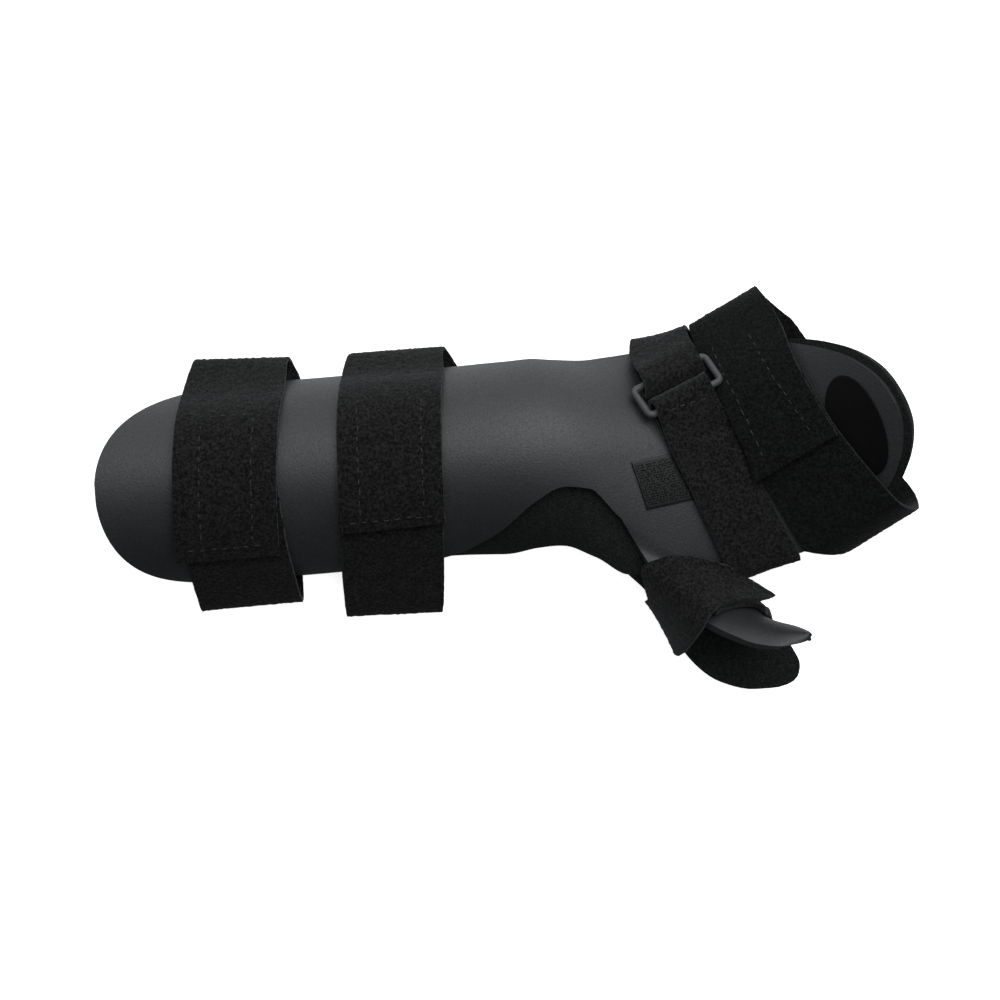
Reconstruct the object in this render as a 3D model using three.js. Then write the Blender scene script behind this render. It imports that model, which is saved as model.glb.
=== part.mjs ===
import * as THREE from "three";

// Resting hand splint for a right hand, lying on its open side.
// Millimetres, +Z up, +X from the elbow end to the fingers, +Y to the little-finger (ulnar) side.

// Driving sizes
const SHELL_THICKNESS = 3;
const LINER_THICKNESS = 4;
const STRAP_THICKNESS = 1.8;
const PIECE_GAP = 0.35;
const STUCK_GAP = 0.3;
const LINER_GAP = 0.5;
const CREST_HEIGHT_AT_ELBOW = 35.5;
const SHELL_LENGTH = 300;
const LINER_LENGTH = 302;
const ELBOW_ROUND_ULNAR = 68;
const ELBOW_ROUND_RADIAL = 44;
const FINGER_ROUND = 45;
const RING_BAR_RADIUS = 1.35;
const RING_SPACING = 12;
const RING_WIDTH = 31.7;
const RING_CORNER = 1.9;
const RING_LIFTS = [4.7, 7];
const RING_FOLD_GAP = 1.1;
const FOLD_SLACK = 1.3;
const HOOK_PATCH_THICKNESS = 1;
const LABEL_THICKNESS = 0.4;

const COLOURS = {
  shell: 0x3b3d3f,
  liner: 0x17191a,
  strap: 0x1e1f20,
  ring: 0x6a6b6c,
  hook: 0x202122,
  label: 0x0d0d0e,
};

// Sections of the moulded sheet along its length.
// run: distance along X; drift: spine's Y; turn: degrees the section is turned about Z;
// slope: degrees the spine climbs; radii and edges: bend radius and arc length to each side,
// with liner edges of their own.
const STATIONS = table(
  ["run", "drift", "turn", "slope", "ulnarRadius", "radialRadius", "ulnarEdge", "radialEdge",
    "linerUlnar", "linerRadial"],
  [
    [0, 0, 0, 3, 39, 39, 52, 50, 49, 47],
    [68, 0, 0, 3, 39, 38.5, 53, 50, 51, 48],
    [110, 0, 0, 3, 39, 38.5, 53, 47.5, 51, 47.5],
    [128, 0, 0, 3, 39, 38.5, 53, 42.5, 51, 51.5],
    [150, 0, 1, 1, 39.8, 40, 52, 28.5, 50, 51.5],
    [164, 0, 3, -4, 40.8, 43, 51, 16.5, 49, 43.6],
    [175, 0, 6, -9, 42.2, 50, 51, 11.3, 49, 40.3],
    [184, -0.5, 9, -14, 44, 75, 51, 12.4, 49, 42.4],
    [192, -1, 12, -17, 46, 120, 51, 24, 49, 48],
    [206, -1.8, 17, -18, 50, 180, 51, 38, 48, 47.5],
    [218, -2.5, 20, -17.5, 56, 180, 52, 45.5, 48, 45.5],
    [231, -3.2, 23, -15, 66, 180, 52.5, 46.5, 48, 45.5],
    [248, -3.5, 25, -2, 78, 150, 52, 44, 48, 43.5],
    [262, -1, 25, 18, 85, 130, 48.5, 39, 48, 40],
    [278, 4, 25, 27, 95, 120, 41, 39.5, 42.8, 42.5],
    [300, 12.5, 25, 28, 95, 120, 38.5, 38.5, 41.8, 41.8],
  ],
);

// Rails of the thumb tongue and of the liner's thumb lobe, by share of their length.
const RAIL_COLUMNS = ["share", "x", "y", "z"];
const TONGUE_START = { run: 192, arc: -24 };
const TONGUE_END = { run: 218, arc: -45.5 };
const TONGUE_RADIAL = table(RAIL_COLUMNS, [
  [0.1, 203.2, -38, 31.7],
  [0.2, 207, -44.6, 32.5],
  [0.3, 212.2, -52.9, 35],
  [0.42, 219.1, -61.2, 40],
  [0.54, 226.2, -66.4, 45.5],
  [0.66, 233.7, -70.8, 50.5],
  [0.8, 242.7, -74.7, 54.5],
  [0.91, 251.6, -76, 56.5],
  [0.97, 258.3, -75.4, 56.4],
  [1, 261.4, -74.4, 55.6],
]);
const TONGUE_WEB = table(RAIL_COLUMNS, [
  [0.2, 239.2, -54.3, 22.5],
  [0.42, 244.4, -62.4, 26.4],
  [0.54, 248.2, -66, 31],
  [0.66, 252.4, -67.9, 36.4],
  [0.8, 257.9, -69.6, 43.5],
  [0.91, 261, -71.1, 50],
  [0.97, 262.4, -72.2, 52.8],
  [1, 262.6, -73, 54.4],
]);
const LOBE_START = { run: 192 };
const LOBE_END = { run: 218 };
const LOBE_RADIAL = table(RAIL_COLUMNS, [
  [0.33, 204.9, -54, 20.6],
  [0.5, 211.5, -66.1, 18.2],
  [0.66, 219.1, -80.4, 16.4],
  [0.8, 230.3, -90.2, 15.5],
  [0.91, 243.4, -93.9, 15.5],
  [0.97, 251, -93.9, 15.9],
  [1, 255.6, -93, 16],
]);
const LOBE_WEB = table(RAIL_COLUMNS, [
  [0.33, 240.2, -56, 16.4],
  [0.5, 247.4, -64.6, 15.8],
  [0.66, 254.6, -72.9, 15.8],
  [0.8, 259, -80.1, 16],
  [0.91, 260.9, -85.7, 16],
  [0.97, 260, -89.8, 16],
  [1, 258, -91.9, 16],
]);
const TONGUE_CROWN = 2;

// Straps: where each lies, where its ends lap, and how it hangs to the floor on each side.
// runs: its near and far edge at the spine; lift: gap under it; outerEnd and innerEnd: arcs of its
// two lapped ends; skew: arc added at the far edge; over, under: shift along the run of the upper
// and the lower layer, 45 mm from the spine on each side; overRuns: runs of the upper layer where
// they differ at the spine too; leave: arc where it leaves the shell; floor: half width of its flat
// bottom; lean: shift along the heading at the bottom; sweep: how much less of it the bulge has;
// veer: shift along the heading where it leaves the shell; reach, tuck: handles of the bulge.
// Two values are for the near and the far edge, and a value that isn't given is 0.
const FOREARM_STRAP_PROXIMAL = {
  runs: [30.1, 69.2], lift: 0.4, outerEnd: -28.5, innerEnd: 14, skew: 0.5,
  over: { ulnar: [3.2, 3.5], radial: -3.7 }, under: { ulnar: [3.4, 3.5], radial: 1.2 },
  ulnar: { leave: 36, floor: 36, lean: 10, sweep: [0, 7], reach: [22, 18], tuck: [24, 21] },
  radial: { leave: 36, floor: 35, lean: 4, reach: [18, 14.5], tuck: 23 },
};
const FOREARM_STRAP_DISTAL = {
  runs: [92.2, 131.4], lift: 0.4, outerEnd: -21.3, innerEnd: 18, skew: 1,
  over: { ulnar: 1.7, radial: -2 }, under: { ulnar: 1.9, radial: -4 },
  ulnar: { leave: 42, floor: 36, lean: [10, 9], sweep: [4, 9], reach: [13, 11.5], tuck: 20 },
  radial: { leave: 30, floor: 42, lean: [-3, -6], reach: [23, 30], tuck: 26 },
};
const FINGER_STRAP = {
  runs: [245, 279.5], lift: [0.8, 0.95], outerEnd: -12.8, innerEnd: 14, skew: 9,
  over: { ulnar: [5, -2.1], radial: [-9, 0] }, under: { ulnar: [5, -2.1], radial: [3, 5.2] },
  ulnar: { leave: [42, 38], floor: [40, 42], lean: 9, sweep: [0, 12], reach: [17, 25], tuck: [19, 29] },
  radial: {
    leave: [43, 36], floor: 32, lean: [20, 16], sweep: [-8, -4], veer: [15, 0], reach: [14, 7],
    tuck: [24, 19],
  },
};
const PALM_STRAP = {
  runs: [217, 244.4], overRuns: [211.2, 245.3], lift: [1.75, 0.6], skew: 11.3, lowerBar: 16, foldReturn: 11,
  over: { ulnar: [13.5, 4.1], radial: 0 }, under: { ulnar: [2.4, 3.9], radial: [2.7, 0.5] },
  ulnar: { leave: 47, floor: 38, lean: 8, reach: [6, 5], tuck: 16 },
  radial: { leave: 46, floor: [38, 35], lean: [19, 3], reach: [11.5, 1], tuck: [18, 10] },
};

// Thumb strap's two layers on the tongue as [share, across], for its near and its far edge: the
// upper one, with its rise, from its free end to the tongue's radial edge, the lower one from the web.
const THUMB_OVER = [
  [[0, 1.06, 1.5], [0.015, 0.84, 0.9], [0.033, 0.67, 0.3], [0.072, 0.38, 0], [0.15, 0.09, 0]],
  [[0.27, 1.38, 0.9], [0.425, 1.02, 0.3], [0.47, 0.58, 0], [0.49, 0.27, 0], [0.52, 0.05, 0]],
];
const THUMB_UNDER = [
  [[0.24, 1.11], [0.2, 1.01], [0.18, 0.68], [0.2, 0.35], [0.22, 0.15]],
  [[0.53, 1.13], [0.46, 1.02], [0.465, 0.68], [0.49, 0.35], [0.51, 0.15]],
];
const THUMB_RADIAL_EDGE = [0.2, 0.53];
const THUMB_EDGE_GAP = [0.115, 0.08];
const THUMB_RADIAL_LOBE = [0.39, 0.63];
const THUMB_RADIAL_GAP = [0.045, 0.06];
const THUMB_WEB_LOBE = [0.24, 0.5];

// tilt: arc that the patch gains for each millimetre of run.
const HOOK_PATCH = { runs: [201, 226], arcs: [-21.5, -2.5], tilt: 0.19 };
const LABEL = { run: 285.2, arc: -4.2, halfRun: 8.6, halfArc: 20, tilt: 0.11 };

// Small mathematics

function table(names, rows) {
  const columns = {};
  names.forEach((name, index) => {
    columns[name] = rows.map((row) => row[index]);
  });
  return columns;
}

// Smooth curve through points that keeps to their rise and fall.
function curveThrough(at, values) {
  const last = at.length - 1;
  const step = at.slice(1).map((a, i) => a - at[i]);
  const rise = step.map((h, i) => (values[i + 1] - values[i]) / h);
  const tangent = values.map((unused, i) => {
    if (i === 0) return rise[0];
    if (i === last) return rise[last - 1];
    if (rise[i - 1] * rise[i] <= 0) return 0;
    const before = 2 * step[i] + step[i - 1];
    const after = step[i] + 2 * step[i - 1];
    return (before + after) / (before / rise[i - 1] + after / rise[i]);
  });
  return (a) => {
    let i = 0;
    while (i < last - 1 && a > at[i + 1]) i += 1;
    const t = (a - at[i]) / step[i];
    const start = (1 + 2 * t) * (1 - t) ** 2 * values[i] + t * (1 - t) ** 2 * step[i] * tangent[i];
    const end = t * t * (3 - 2 * t) * values[i + 1] + t * t * (t - 1) * step[i] * tangent[i + 1];
    return start + end;
  };
}

function smooth(t) {
  const c = THREE.MathUtils.clamp(t, 0, 1);
  return c * c * (3 - 2 * c);
}

function spaced(from, to, count) {
  return Array.from({ length: count }, (unused, i) => from + (to - from) * i / (count - 1));
}

function roundedEnd(distance, length) {
  if (distance >= length) return 1;
  return Math.sqrt(Math.max(0, 1 - (1 - distance / length) ** 2));
}

// The moulded surface

const station = {};
for (const name of Object.keys(STATIONS)) {
  station[name] = curveThrough(STATIONS.run, STATIONS[name]);
}

const CREST_STEP = 0.25;
const crestHeights = [CREST_HEIGHT_AT_ELBOW];
for (let run = CREST_STEP; run <= SHELL_LENGTH + CREST_STEP; run += CREST_STEP) {
  const turn = THREE.MathUtils.degToRad(station.turn(run));
  const sideways = station.drift(run) - station.drift(run - CREST_STEP);
  const forward = Math.cos(turn) * CREST_STEP + Math.sin(turn) * sideways;
  const climb = Math.tan(THREE.MathUtils.degToRad(station.slope(run)));
  crestHeights.push(crestHeights[crestHeights.length - 1] + climb * forward);
}

function crestHeight(run) {
  const index = Math.min(Math.floor(run / CREST_STEP), crestHeights.length - 2);
  const part = run / CREST_STEP - index;
  return crestHeights[index] * (1 - part) + crestHeights[index + 1] * part;
}

// Axes of the section at a run: heading and side are level, normal leans with the slope.
function sectionFrame(run) {
  const inside = THREE.MathUtils.clamp(run, 0, SHELL_LENGTH);
  const turn = THREE.MathUtils.degToRad(station.turn(inside));
  const slope = THREE.MathUtils.degToRad(station.slope(inside));
  const heading = new THREE.Vector3(Math.cos(turn), Math.sin(turn), 0);
  const side = new THREE.Vector3(-Math.sin(turn), Math.cos(turn), 0);
  const up = new THREE.Vector3(0, 0, 1);
  const forward = heading.clone().multiplyScalar(Math.cos(slope)).addScaledVector(up, Math.sin(slope));
  const normal = heading.clone().multiplyScalar(-Math.sin(slope)).addScaledVector(up, Math.cos(slope));
  const crest = new THREE.Vector3(inside, station.drift(inside), crestHeight(inside));
  crest.addScaledVector(forward, run - inside);
  return { inside, crest, heading, side, forward, normal };
}

// Point at a run, an arc from the spine (ulnar positive) and a lift off the shell's outer face.
function onShell(run, arc, lift = 0) {
  const { inside, crest, side, normal } = sectionFrame(run);
  const radius = arc >= 0 ? station.ulnarRadius(inside) : station.radialRadius(inside);
  const angle = arc / radius;
  const point = crest.clone();
  point.addScaledVector(side, (radius + lift) * Math.sin(angle));
  point.addScaledVector(normal, (radius + lift) * Math.cos(angle) - radius);
  return point;
}

function shellArcs(run) {
  const finger = roundedEnd(SHELL_LENGTH - run, FINGER_ROUND);
  return {
    ulnar: station.ulnarEdge(run) * roundedEnd(run, ELBOW_ROUND_ULNAR) * finger,
    radial: -station.radialEdge(run) * roundedEnd(run, ELBOW_ROUND_RADIAL) * finger,
  };
}

const LINER_INSET = 2.5;
function linerArcs(run) {
  const inside = Math.min(run, SHELL_LENGTH);
  const finger = roundedEnd(LINER_LENGTH - run, FINGER_ROUND);
  const back = run - LINER_INSET;
  return {
    ulnar: station.linerUlnar(inside) * roundedEnd(back, ELBOW_ROUND_ULNAR) * finger,
    radial: -station.linerRadial(inside) * roundedEnd(back, ELBOW_ROUND_RADIAL) * finger,
  };
}

// Rows close together at the rounded ends, with chosen rows kept for the thumb seam.
function sheetRuns(start, end, seam) {
  const elbow = spaced(0, 1, 9).map((t) => start + ELBOW_ROUND_ULNAR * (1 - Math.cos(t * Math.PI / 2)));
  const finger = spaced(1, 0, 8).map((t) => end - FINGER_ROUND * (1 - Math.cos(t * Math.PI / 2)));
  const middle = [
    ...spaced(start + ELBOW_ROUND_ULNAR + 14, 122, 3),
    ...spaced(130, seam.start.run - 6, 9),
    ...spaced(seam.start.run, seam.end.run, 9),
    ...spaced(seam.end.run + 5, end - FINGER_ROUND - 5, 5),
  ];
  return [...elbow, ...middle, ...finger];
}

function railCurves(rail, start) {
  const share = [0, ...rail.share];
  return ["x", "y", "z"].map((axis) => curveThrough(share, [start[axis], ...rail[axis]]));
}

// Leaf between two rails, crowned across its width; across 0 is the radial rail, 1 the web rail.
function leaf(radialRail, webRail, starts, crown) {
  const radial = railCurves(radialRail, starts.radial);
  const web = railCurves(webRail, starts.web);
  const pick = (curves, share) => new THREE.Vector3(...curves.map((curve) => curve(share)));
  const flat = (share, across) => pick(radial, share).lerp(pick(web, share), across);
  const normalAt = (share, across) => {
    const near = THREE.MathUtils.clamp(share, 0.01, 0.99);
    const along = flat(near + 0.01, across).sub(flat(near - 0.01, across));
    const chord = pick(web, near).sub(pick(radial, near));
    return along.cross(chord).normalize();
  };
  return (share, across, lift = 0) => {
    const bulge = crown * smooth(share / 0.35) * 4 * across * (1 - across);
    const normal = normalAt(share, across);
    return flat(share, across).addScaledVector(normal, bulge + lift);
  };
}

// Meshes

function material(colour, roughness) {
  return new THREE.MeshStandardMaterial({ color: colour, roughness });
}

function meshFrom(name, points, triangles, colour, roughness) {
  const positions = new Float32Array(triangles.length * 3);
  triangles.forEach((index, i) => points[index].toArray(positions, i * 3));
  let volume = 0;
  for (let i = 0; i < triangles.length; i += 3) {
    const [a, b, c] = [0, 1, 2].map((k) => points[triangles[i + k]]);
    volume += a.dot(b.clone().cross(c));
  }
  if (volume < 0) {
    for (let i = 0; i < positions.length; i += 9) {
      for (let k = 0; k < 3; k += 1) {
        const swap = positions[i + 3 + k];
        positions[i + 3 + k] = positions[i + 6 + k];
        positions[i + 6 + k] = swap;
      }
    }
  }
  const geometry = new THREE.BufferGeometry();
  geometry.setAttribute("position", new THREE.BufferAttribute(positions, 3));
  geometry.computeVertexNormals();
  const mesh = new THREE.Mesh(geometry, material(colour, roughness));
  mesh.name = name;
  return mesh;
}

// Closed sheet from grids of outer and inner points that share rows where they meet.
function sheet(name, patches, colour, roughness) {
  const points = [];
  const known = new Map();
  const addPoint = (point) => {
    const key = point.toArray().map((value) => Math.round(value * 1000)).join(",");
    if (!known.has(key)) {
      known.set(key, points.length);
      points.push(point);
    }
    return known.get(key);
  };
  const innerOf = new Map();
  const outerFaces = [];
  for (const { outer, inner } of patches) {
    const grid = outer.map((row, i) => row.map((point, j) => {
      const index = addPoint(point);
      if (!innerOf.has(index)) innerOf.set(index, addPoint(inner[i][j]));
      return index;
    }));
    for (let i = 0; i + 1 < grid.length; i += 1) {
      for (let j = 0; j + 1 < grid[i].length; j += 1) {
        outerFaces.push([grid[i][j], grid[i + 1][j], grid[i + 1][j + 1]]);
        outerFaces.push([grid[i][j], grid[i + 1][j + 1], grid[i][j + 1]]);
      }
    }
  }
  const faces = outerFaces.filter(([a, b, c]) => a !== b && b !== c && a !== c);
  const edges = new Set();
  for (const [a, b, c] of faces) {
    edges.add(`${a},${b}`).add(`${b},${c}`).add(`${c},${a}`);
  }
  const triangles = [];
  for (const [a, b, c] of faces) {
    triangles.push(a, b, c);
    triangles.push(innerOf.get(a), innerOf.get(c), innerOf.get(b));
    for (const [from, to] of [[a, b], [b, c], [c, a]]) {
      if (!edges.has(`${to},${from}`)) {
        triangles.push(to, from, innerOf.get(from));
        triangles.push(to, innerOf.get(from), innerOf.get(to));
      }
    }
  }
  return meshFrom(name, points, triangles, colour, roughness);
}

// Grid normals by differences along rows and columns.
function gridNormals(grid) {
  return grid.map((row, i) => row.map((point, j) => {
    const next = grid[Math.min(i + 1, grid.length - 1)][j];
    const before = grid[Math.max(i - 1, 0)][j];
    const right = row[Math.min(j + 1, row.length - 1)];
    const left = row[Math.max(j - 1, 0)];
    return next.clone().sub(before).cross(right.clone().sub(left)).normalize();
  }));
}

function strip(name, middle, colour, roughness) {
  const normals = gridNormals(middle);
  const offset = (amount) => middle.map((row, i) => row.map((point, j) => (
    point.clone().addScaledVector(normals[i][j], amount)
  )));
  const patch = { outer: offset(STRAP_THICKNESS / 2), inner: offset(-STRAP_THICKNESS / 2) };
  return sheet(name, [patch], colour, roughness);
}

// Shell: the moulded sheet and the thumb tongue that grows out of its radial edge

const SHEET_COLUMNS = 18;

function sheetPatch(runs, arcsAt, outerLift, innerLift, columns) {
  const rows = (lift) => runs.map((run) => {
    const arcs = arcsAt(run);
    return spaced(arcs.radial, arcs.ulnar, columns).map((arc) => onShell(run, arc, lift));
  });
  return { outer: rows(outerLift), inner: rows(innerLift) };
}

function leafPatch(surface, seamOuter, seamInner, shares, thickness) {
  const columns = seamOuter.length;
  const across = spaced(0, 1, columns);
  const rows = (lift) => shares.map((share) => across.map((a) => surface(share, a, lift)));
  return { outer: [seamOuter, ...rows(0)], inner: [seamInner, ...rows(-thickness)] };
}

function seamRow(patch, runs, seam) {
  const first = runs.findIndex((run) => run >= seam.start.run - 1e-6);
  const last = runs.findIndex((run) => run >= seam.end.run - 1e-6);
  return {
    outer: patch.outer.slice(first, last + 1).map((row) => row[0]),
    inner: patch.inner.slice(first, last + 1).map((row) => row[0]),
  };
}

const shellSeam = { start: TONGUE_START, end: TONGUE_END };
const shellRuns = sheetRuns(0, SHELL_LENGTH, shellSeam);
const shellBody = sheetPatch(shellRuns, shellArcs, 0, -SHELL_THICKNESS, SHEET_COLUMNS);
const tongueSeam = seamRow(shellBody, shellRuns, shellSeam);
const tongueStarts = {
  radial: onShell(TONGUE_START.run, TONGUE_START.arc),
  web: onShell(TONGUE_END.run, TONGUE_END.arc),
};
const tongue = leaf(TONGUE_RADIAL, TONGUE_WEB, tongueStarts, TONGUE_CROWN);
const tongueShares = [0.08, 0.16, 0.24, 0.32, 0.42, 0.52, 0.62, 0.72, 0.81, 0.88, 0.94, 0.97, 1];
const tonguePatch = leafPatch(tongue, tongueSeam.outer, tongueSeam.inner, tongueShares, SHELL_THICKNESS);
const shell = sheet("shell", [shellBody, tonguePatch], COLOURS.shell, 0.6);

// Liner: padded lining inside the shell with a flat thumb lobe

const linerOuter = -SHELL_THICKNESS - LINER_GAP;
const linerInner = linerOuter - LINER_THICKNESS;
const linerSeam = { start: LOBE_START, end: LOBE_END };
const linerRuns = sheetRuns(LINER_INSET, LINER_LENGTH, linerSeam);
const linerBody = sheetPatch(linerRuns, linerArcs, linerOuter, linerInner, SHEET_COLUMNS - 2);
const lobeSeam = seamRow(linerBody, linerRuns, linerSeam);
const lobeStarts = { radial: lobeSeam.outer[0], web: lobeSeam.outer[lobeSeam.outer.length - 1] };
const lobe = leaf(LOBE_RADIAL, LOBE_WEB, lobeStarts, 0);
const lobeShares = [0.1, 0.2, 0.3, 0.4, 0.5, 0.6, 0.7, 0.8, 0.88, 0.94, 0.97, 1];
const lobePatch = leafPatch(lobe, lobeSeam.outer, lobeSeam.inner, lobeShares, LINER_THICKNESS);
const liner = sheet("liner", [linerBody, lobePatch], COLOURS.liner, 0.95);

// Straps: ruled between two edge lines that follow the shell and hang to the floor

function alongPath(corners, count) {
  const points = corners.map(([arc, lift]) => new THREE.Vector3(arc, lift, 0));
  return new THREE.CatmullRomCurve3(points, false, "centripetal").getSpacedPoints(count - 1);
}

const SHIFT_ARC = 45;
const HANG_STEPS = 10;
const LAP_CLEAR = 2;
const LAP_RAMP = 16;

// Value of a strap's side at its near (0) or far (1) edge.
function atEdge(side, name, edge) {
  const value = side[name] ?? 0;
  return Array.isArray(value) ? value[edge] : value;
}

// Point of a strap's edge at an arc and a lift, with its layer's shift growing along the arc.
function onEdge(spec, edge, layer, arc, lift) {
  const runs = spec[`${layer}Runs`] ?? spec.runs;
  const shift = atEdge(spec[layer], arc >= 0 ? "ulnar" : "radial", edge);
  return onShell(runs[edge] + shift * Math.abs(arc) / SHIFT_ARC, arc, lift);
}

// Side of a strap from the shell to the floor: a curve that leaves along a direction, bulges and
// comes in flat over the floor.
function hang(spec, edge, name, sign, start, direction) {
  const side = spec[name];
  const frame = sectionFrame(spec.runs[edge]);
  const floor = frame.crest.clone();
  floor.addScaledVector(frame.side, sign * atEdge(side, "floor", edge));
  floor.addScaledVector(frame.heading, atEdge(side, "lean", edge));
  floor.z = STRAP_THICKNESS / 2;
  const bulge = floor.clone();
  bulge.addScaledVector(frame.side, sign * atEdge(side, "tuck", edge));
  bulge.addScaledVector(frame.heading, -atEdge(side, "sweep", edge));
  const leaving = start.clone();
  leaving.addScaledVector(direction, atEdge(side, "reach", edge));
  leaving.addScaledVector(frame.heading, atEdge(side, "veer", edge));
  return new THREE.CubicBezierCurve3(start, leaving, bulge, floor).getPoints(HANG_STEPS);
}

function strapEdge(spec, edge, overPath, underPath) {
  const over = overPath.map(({ x, y }) => onEdge(spec, edge, "over", x, y));
  const under = underPath.map(({ x, y }) => onEdge(spec, edge, "under", x, y));
  const leaving = over.at(-1).clone().sub(over.at(-2)).normalize();
  const arriving = under[0].clone().sub(under[1]).normalize();
  const down = hang(spec, edge, "ulnar", 1, over.at(-1), leaving);
  const rise = hang(spec, edge, "radial", -1, under[0], arriving).reverse();
  return [...over, ...down.slice(1), ...rise, ...under.slice(1)];
}

// Strap ruled between its near and its far edge.
function ruledStrap(name, edgeAt) {
  const [near, far] = [0, 1].map(edgeAt);
  return strip(name, near.map((point, i) => [point, far[i]]), COLOURS.strap, 0.95);
}

function lappedStrap(name, spec) {
  return ruledStrap(name, (edge) => {
    const low = atEdge(spec, "lift", edge) + STRAP_THICKNESS / 2;
    const high = low + STRAP_THICKNESS + PIECE_GAP;
    const inner = spec.innerEnd + spec.skew * edge;
    const outer = spec.outerEnd + spec.skew * edge;
    const radial = atEdge(spec.radial, "leave", edge);
    const ulnar = Math.max(atEdge(spec.ulnar, "leave", edge), inner + LAP_RAMP);
    const over = [[outer, high], [(outer + inner) / 2, high], [inner + LAP_CLEAR, high], [ulnar, low]];
    const under = [[-radial, low], [(inner - radial) / 2, low], [inner, low]];
    return strapEdge(spec, edge, alongPath(over, 18), alongPath(under, 14));
  });
}

const forearmStrapProximal = lappedStrap("forearm_strap_proximal", FOREARM_STRAP_PROXIMAL);
const forearmStrapDistal = lappedStrap("forearm_strap_distal", FOREARM_STRAP_DISTAL);
const fingerStrap = lappedStrap("finger_strap", FINGER_STRAP);

// Palm strap: both ends go over a bar of the ring and fold back beneath

const FOLD_RADIUS = RING_BAR_RADIUS + RING_FOLD_GAP + STRAP_THICKNESS / 2;

// Arcs before the fold, and lifts over its return, where the strap climbs to the ring.
const CLIMB = { flat: 13, start: 7, end: -1, endRise: 0.1, crest: 5, crestRise: 1.6 };
// Arcs after the fold, and lifts over its return, where the strap comes down from the ring.
const DESCENT = { crest: 5, crestDrop: 0.5, end: 0.5, endRise: 1.6, last: 4, lastRise: 0.6 };

function foldPath(bar, lift, sign, run) {
  const turnPoints = spaced(90, -90, 7).map((degrees) => {
    const angle = THREE.MathUtils.degToRad(degrees);
    return [bar + sign * FOLD_RADIUS * Math.cos(angle), lift + FOLD_RADIUS * Math.sin(angle)];
  });
  const below = lift - FOLD_RADIUS;
  return [...turnPoints, [bar - sign * run * 0.5, below], [bar - sign * run, below]];
}

function palmStrap(name, spec) {
  return ruledStrap(name, (edge) => {
    const low = atEdge(spec, "lift", edge) + STRAP_THICKNESS / 2;
    const lift = RING_LIFTS[edge];
    const clear = lift - FOLD_RADIUS + STRAP_THICKNESS + PIECE_GAP;
    const back = spec.foldReturn;
    const lower = spec.lowerBar + spec.skew * edge + FOLD_SLACK;
    const upper = lower + RING_SPACING - 2 * FOLD_SLACK;
    const radialPath = [
      [-spec.radial.leave, low],
      [(lower - back - CLIMB.start - spec.radial.leave) / 2, low],
      [lower - back - CLIMB.flat, low],
      [lower - back - CLIMB.start, low],
      [lower - back - CLIMB.end, clear + CLIMB.endRise],
      [lower - CLIMB.crest, clear + CLIMB.crestRise],
      ...foldPath(lower, lift, 1, back),
    ];
    const ulnarPath = [
      ...foldPath(upper, lift, -1, back - 1).reverse(),
      [upper + DESCENT.crest, lift + FOLD_RADIUS - DESCENT.crestDrop],
      [upper + back + DESCENT.end, clear + DESCENT.endRise],
      [upper + back + DESCENT.last, clear + DESCENT.lastRise],
    ];
    return strapEdge(spec, edge, alongPath(ulnarPath, 26), alongPath(radialPath, 32));
  });
}

const palm = palmStrap("palm_strap", PALM_STRAP);

// Ring: a rounded rectangle of round bar that lies flat over the palm's ulnar side

function ringFrame() {
  const [near, far] = RING_LIFTS.map((lift, edge) => {
    const lower = PALM_STRAP.lowerBar + PALM_STRAP.skew * edge;
    return {
      lower: onEdge(PALM_STRAP, edge, "under", lower, lift),
      upper: onEdge(PALM_STRAP, edge, "over", lower + RING_SPACING, lift),
    };
  });
  const centre = near.lower.clone().add(near.upper).add(far.lower).add(far.upper).divideScalar(4);
  const along = far.lower.clone().add(far.upper).sub(near.lower).sub(near.upper).normalize();
  const rough = near.upper.clone().add(far.upper).sub(near.lower).sub(far.lower);
  const normal = along.clone().cross(rough).normalize();
  const across = normal.clone().cross(along);
  return { centre, along, across, normal, spacing: rough.length() / 2 };
}

function ring(name) {
  const { centre, along, across, normal, spacing } = ringFrame();
  const halfWidth = RING_WIDTH / 2 - RING_CORNER;
  const halfDepth = spacing / 2 - RING_CORNER;
  const path = [];
  const corners = [[1, 1, 0], [-1, 1, 90], [-1, -1, 180], [1, -1, 270]];
  for (const [u, v, start] of corners) {
    for (const degrees of spaced(start, start + 90, 5)) {
      const angle = THREE.MathUtils.degToRad(degrees);
      const x = u * halfWidth + RING_CORNER * Math.cos(angle);
      const y = v * halfDepth + RING_CORNER * Math.sin(angle);
      path.push(centre.clone().addScaledVector(along, x).addScaledVector(across, y));
    }
  }
  const sides = 10;
  const points = [];
  path.forEach((point, i) => {
    const next = path[(i + 1) % path.length];
    const before = path[(i + path.length - 1) % path.length];
    const outward = next.clone().sub(before).cross(normal).normalize();
    for (let k = 0; k < sides; k += 1) {
      const angle = 2 * Math.PI * k / sides;
      points.push(point.clone()
        .addScaledVector(outward, RING_BAR_RADIUS * Math.cos(angle))
        .addScaledVector(normal, RING_BAR_RADIUS * Math.sin(angle)));
    }
  });
  const triangles = [];
  for (let i = 0; i < path.length; i += 1) {
    for (let k = 0; k < sides; k += 1) {
      const a = i * sides + k;
      const b = i * sides + (k + 1) % sides;
      const c = ((i + 1) % path.length) * sides + k;
      const d = ((i + 1) % path.length) * sides + (k + 1) % sides;
      triangles.push(a, b, d, a, d, c);
    }
  }
  return meshFrom(name, points, triangles, COLOURS.ring, 0.5);
}

const strapRing = ring("strap_ring");

// Thumb strap: over the tongue, round its radial edge, down past the lobe, along the floor,
// up through the web and over the tongue again

const THUMB_EASE = 0.4;

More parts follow.
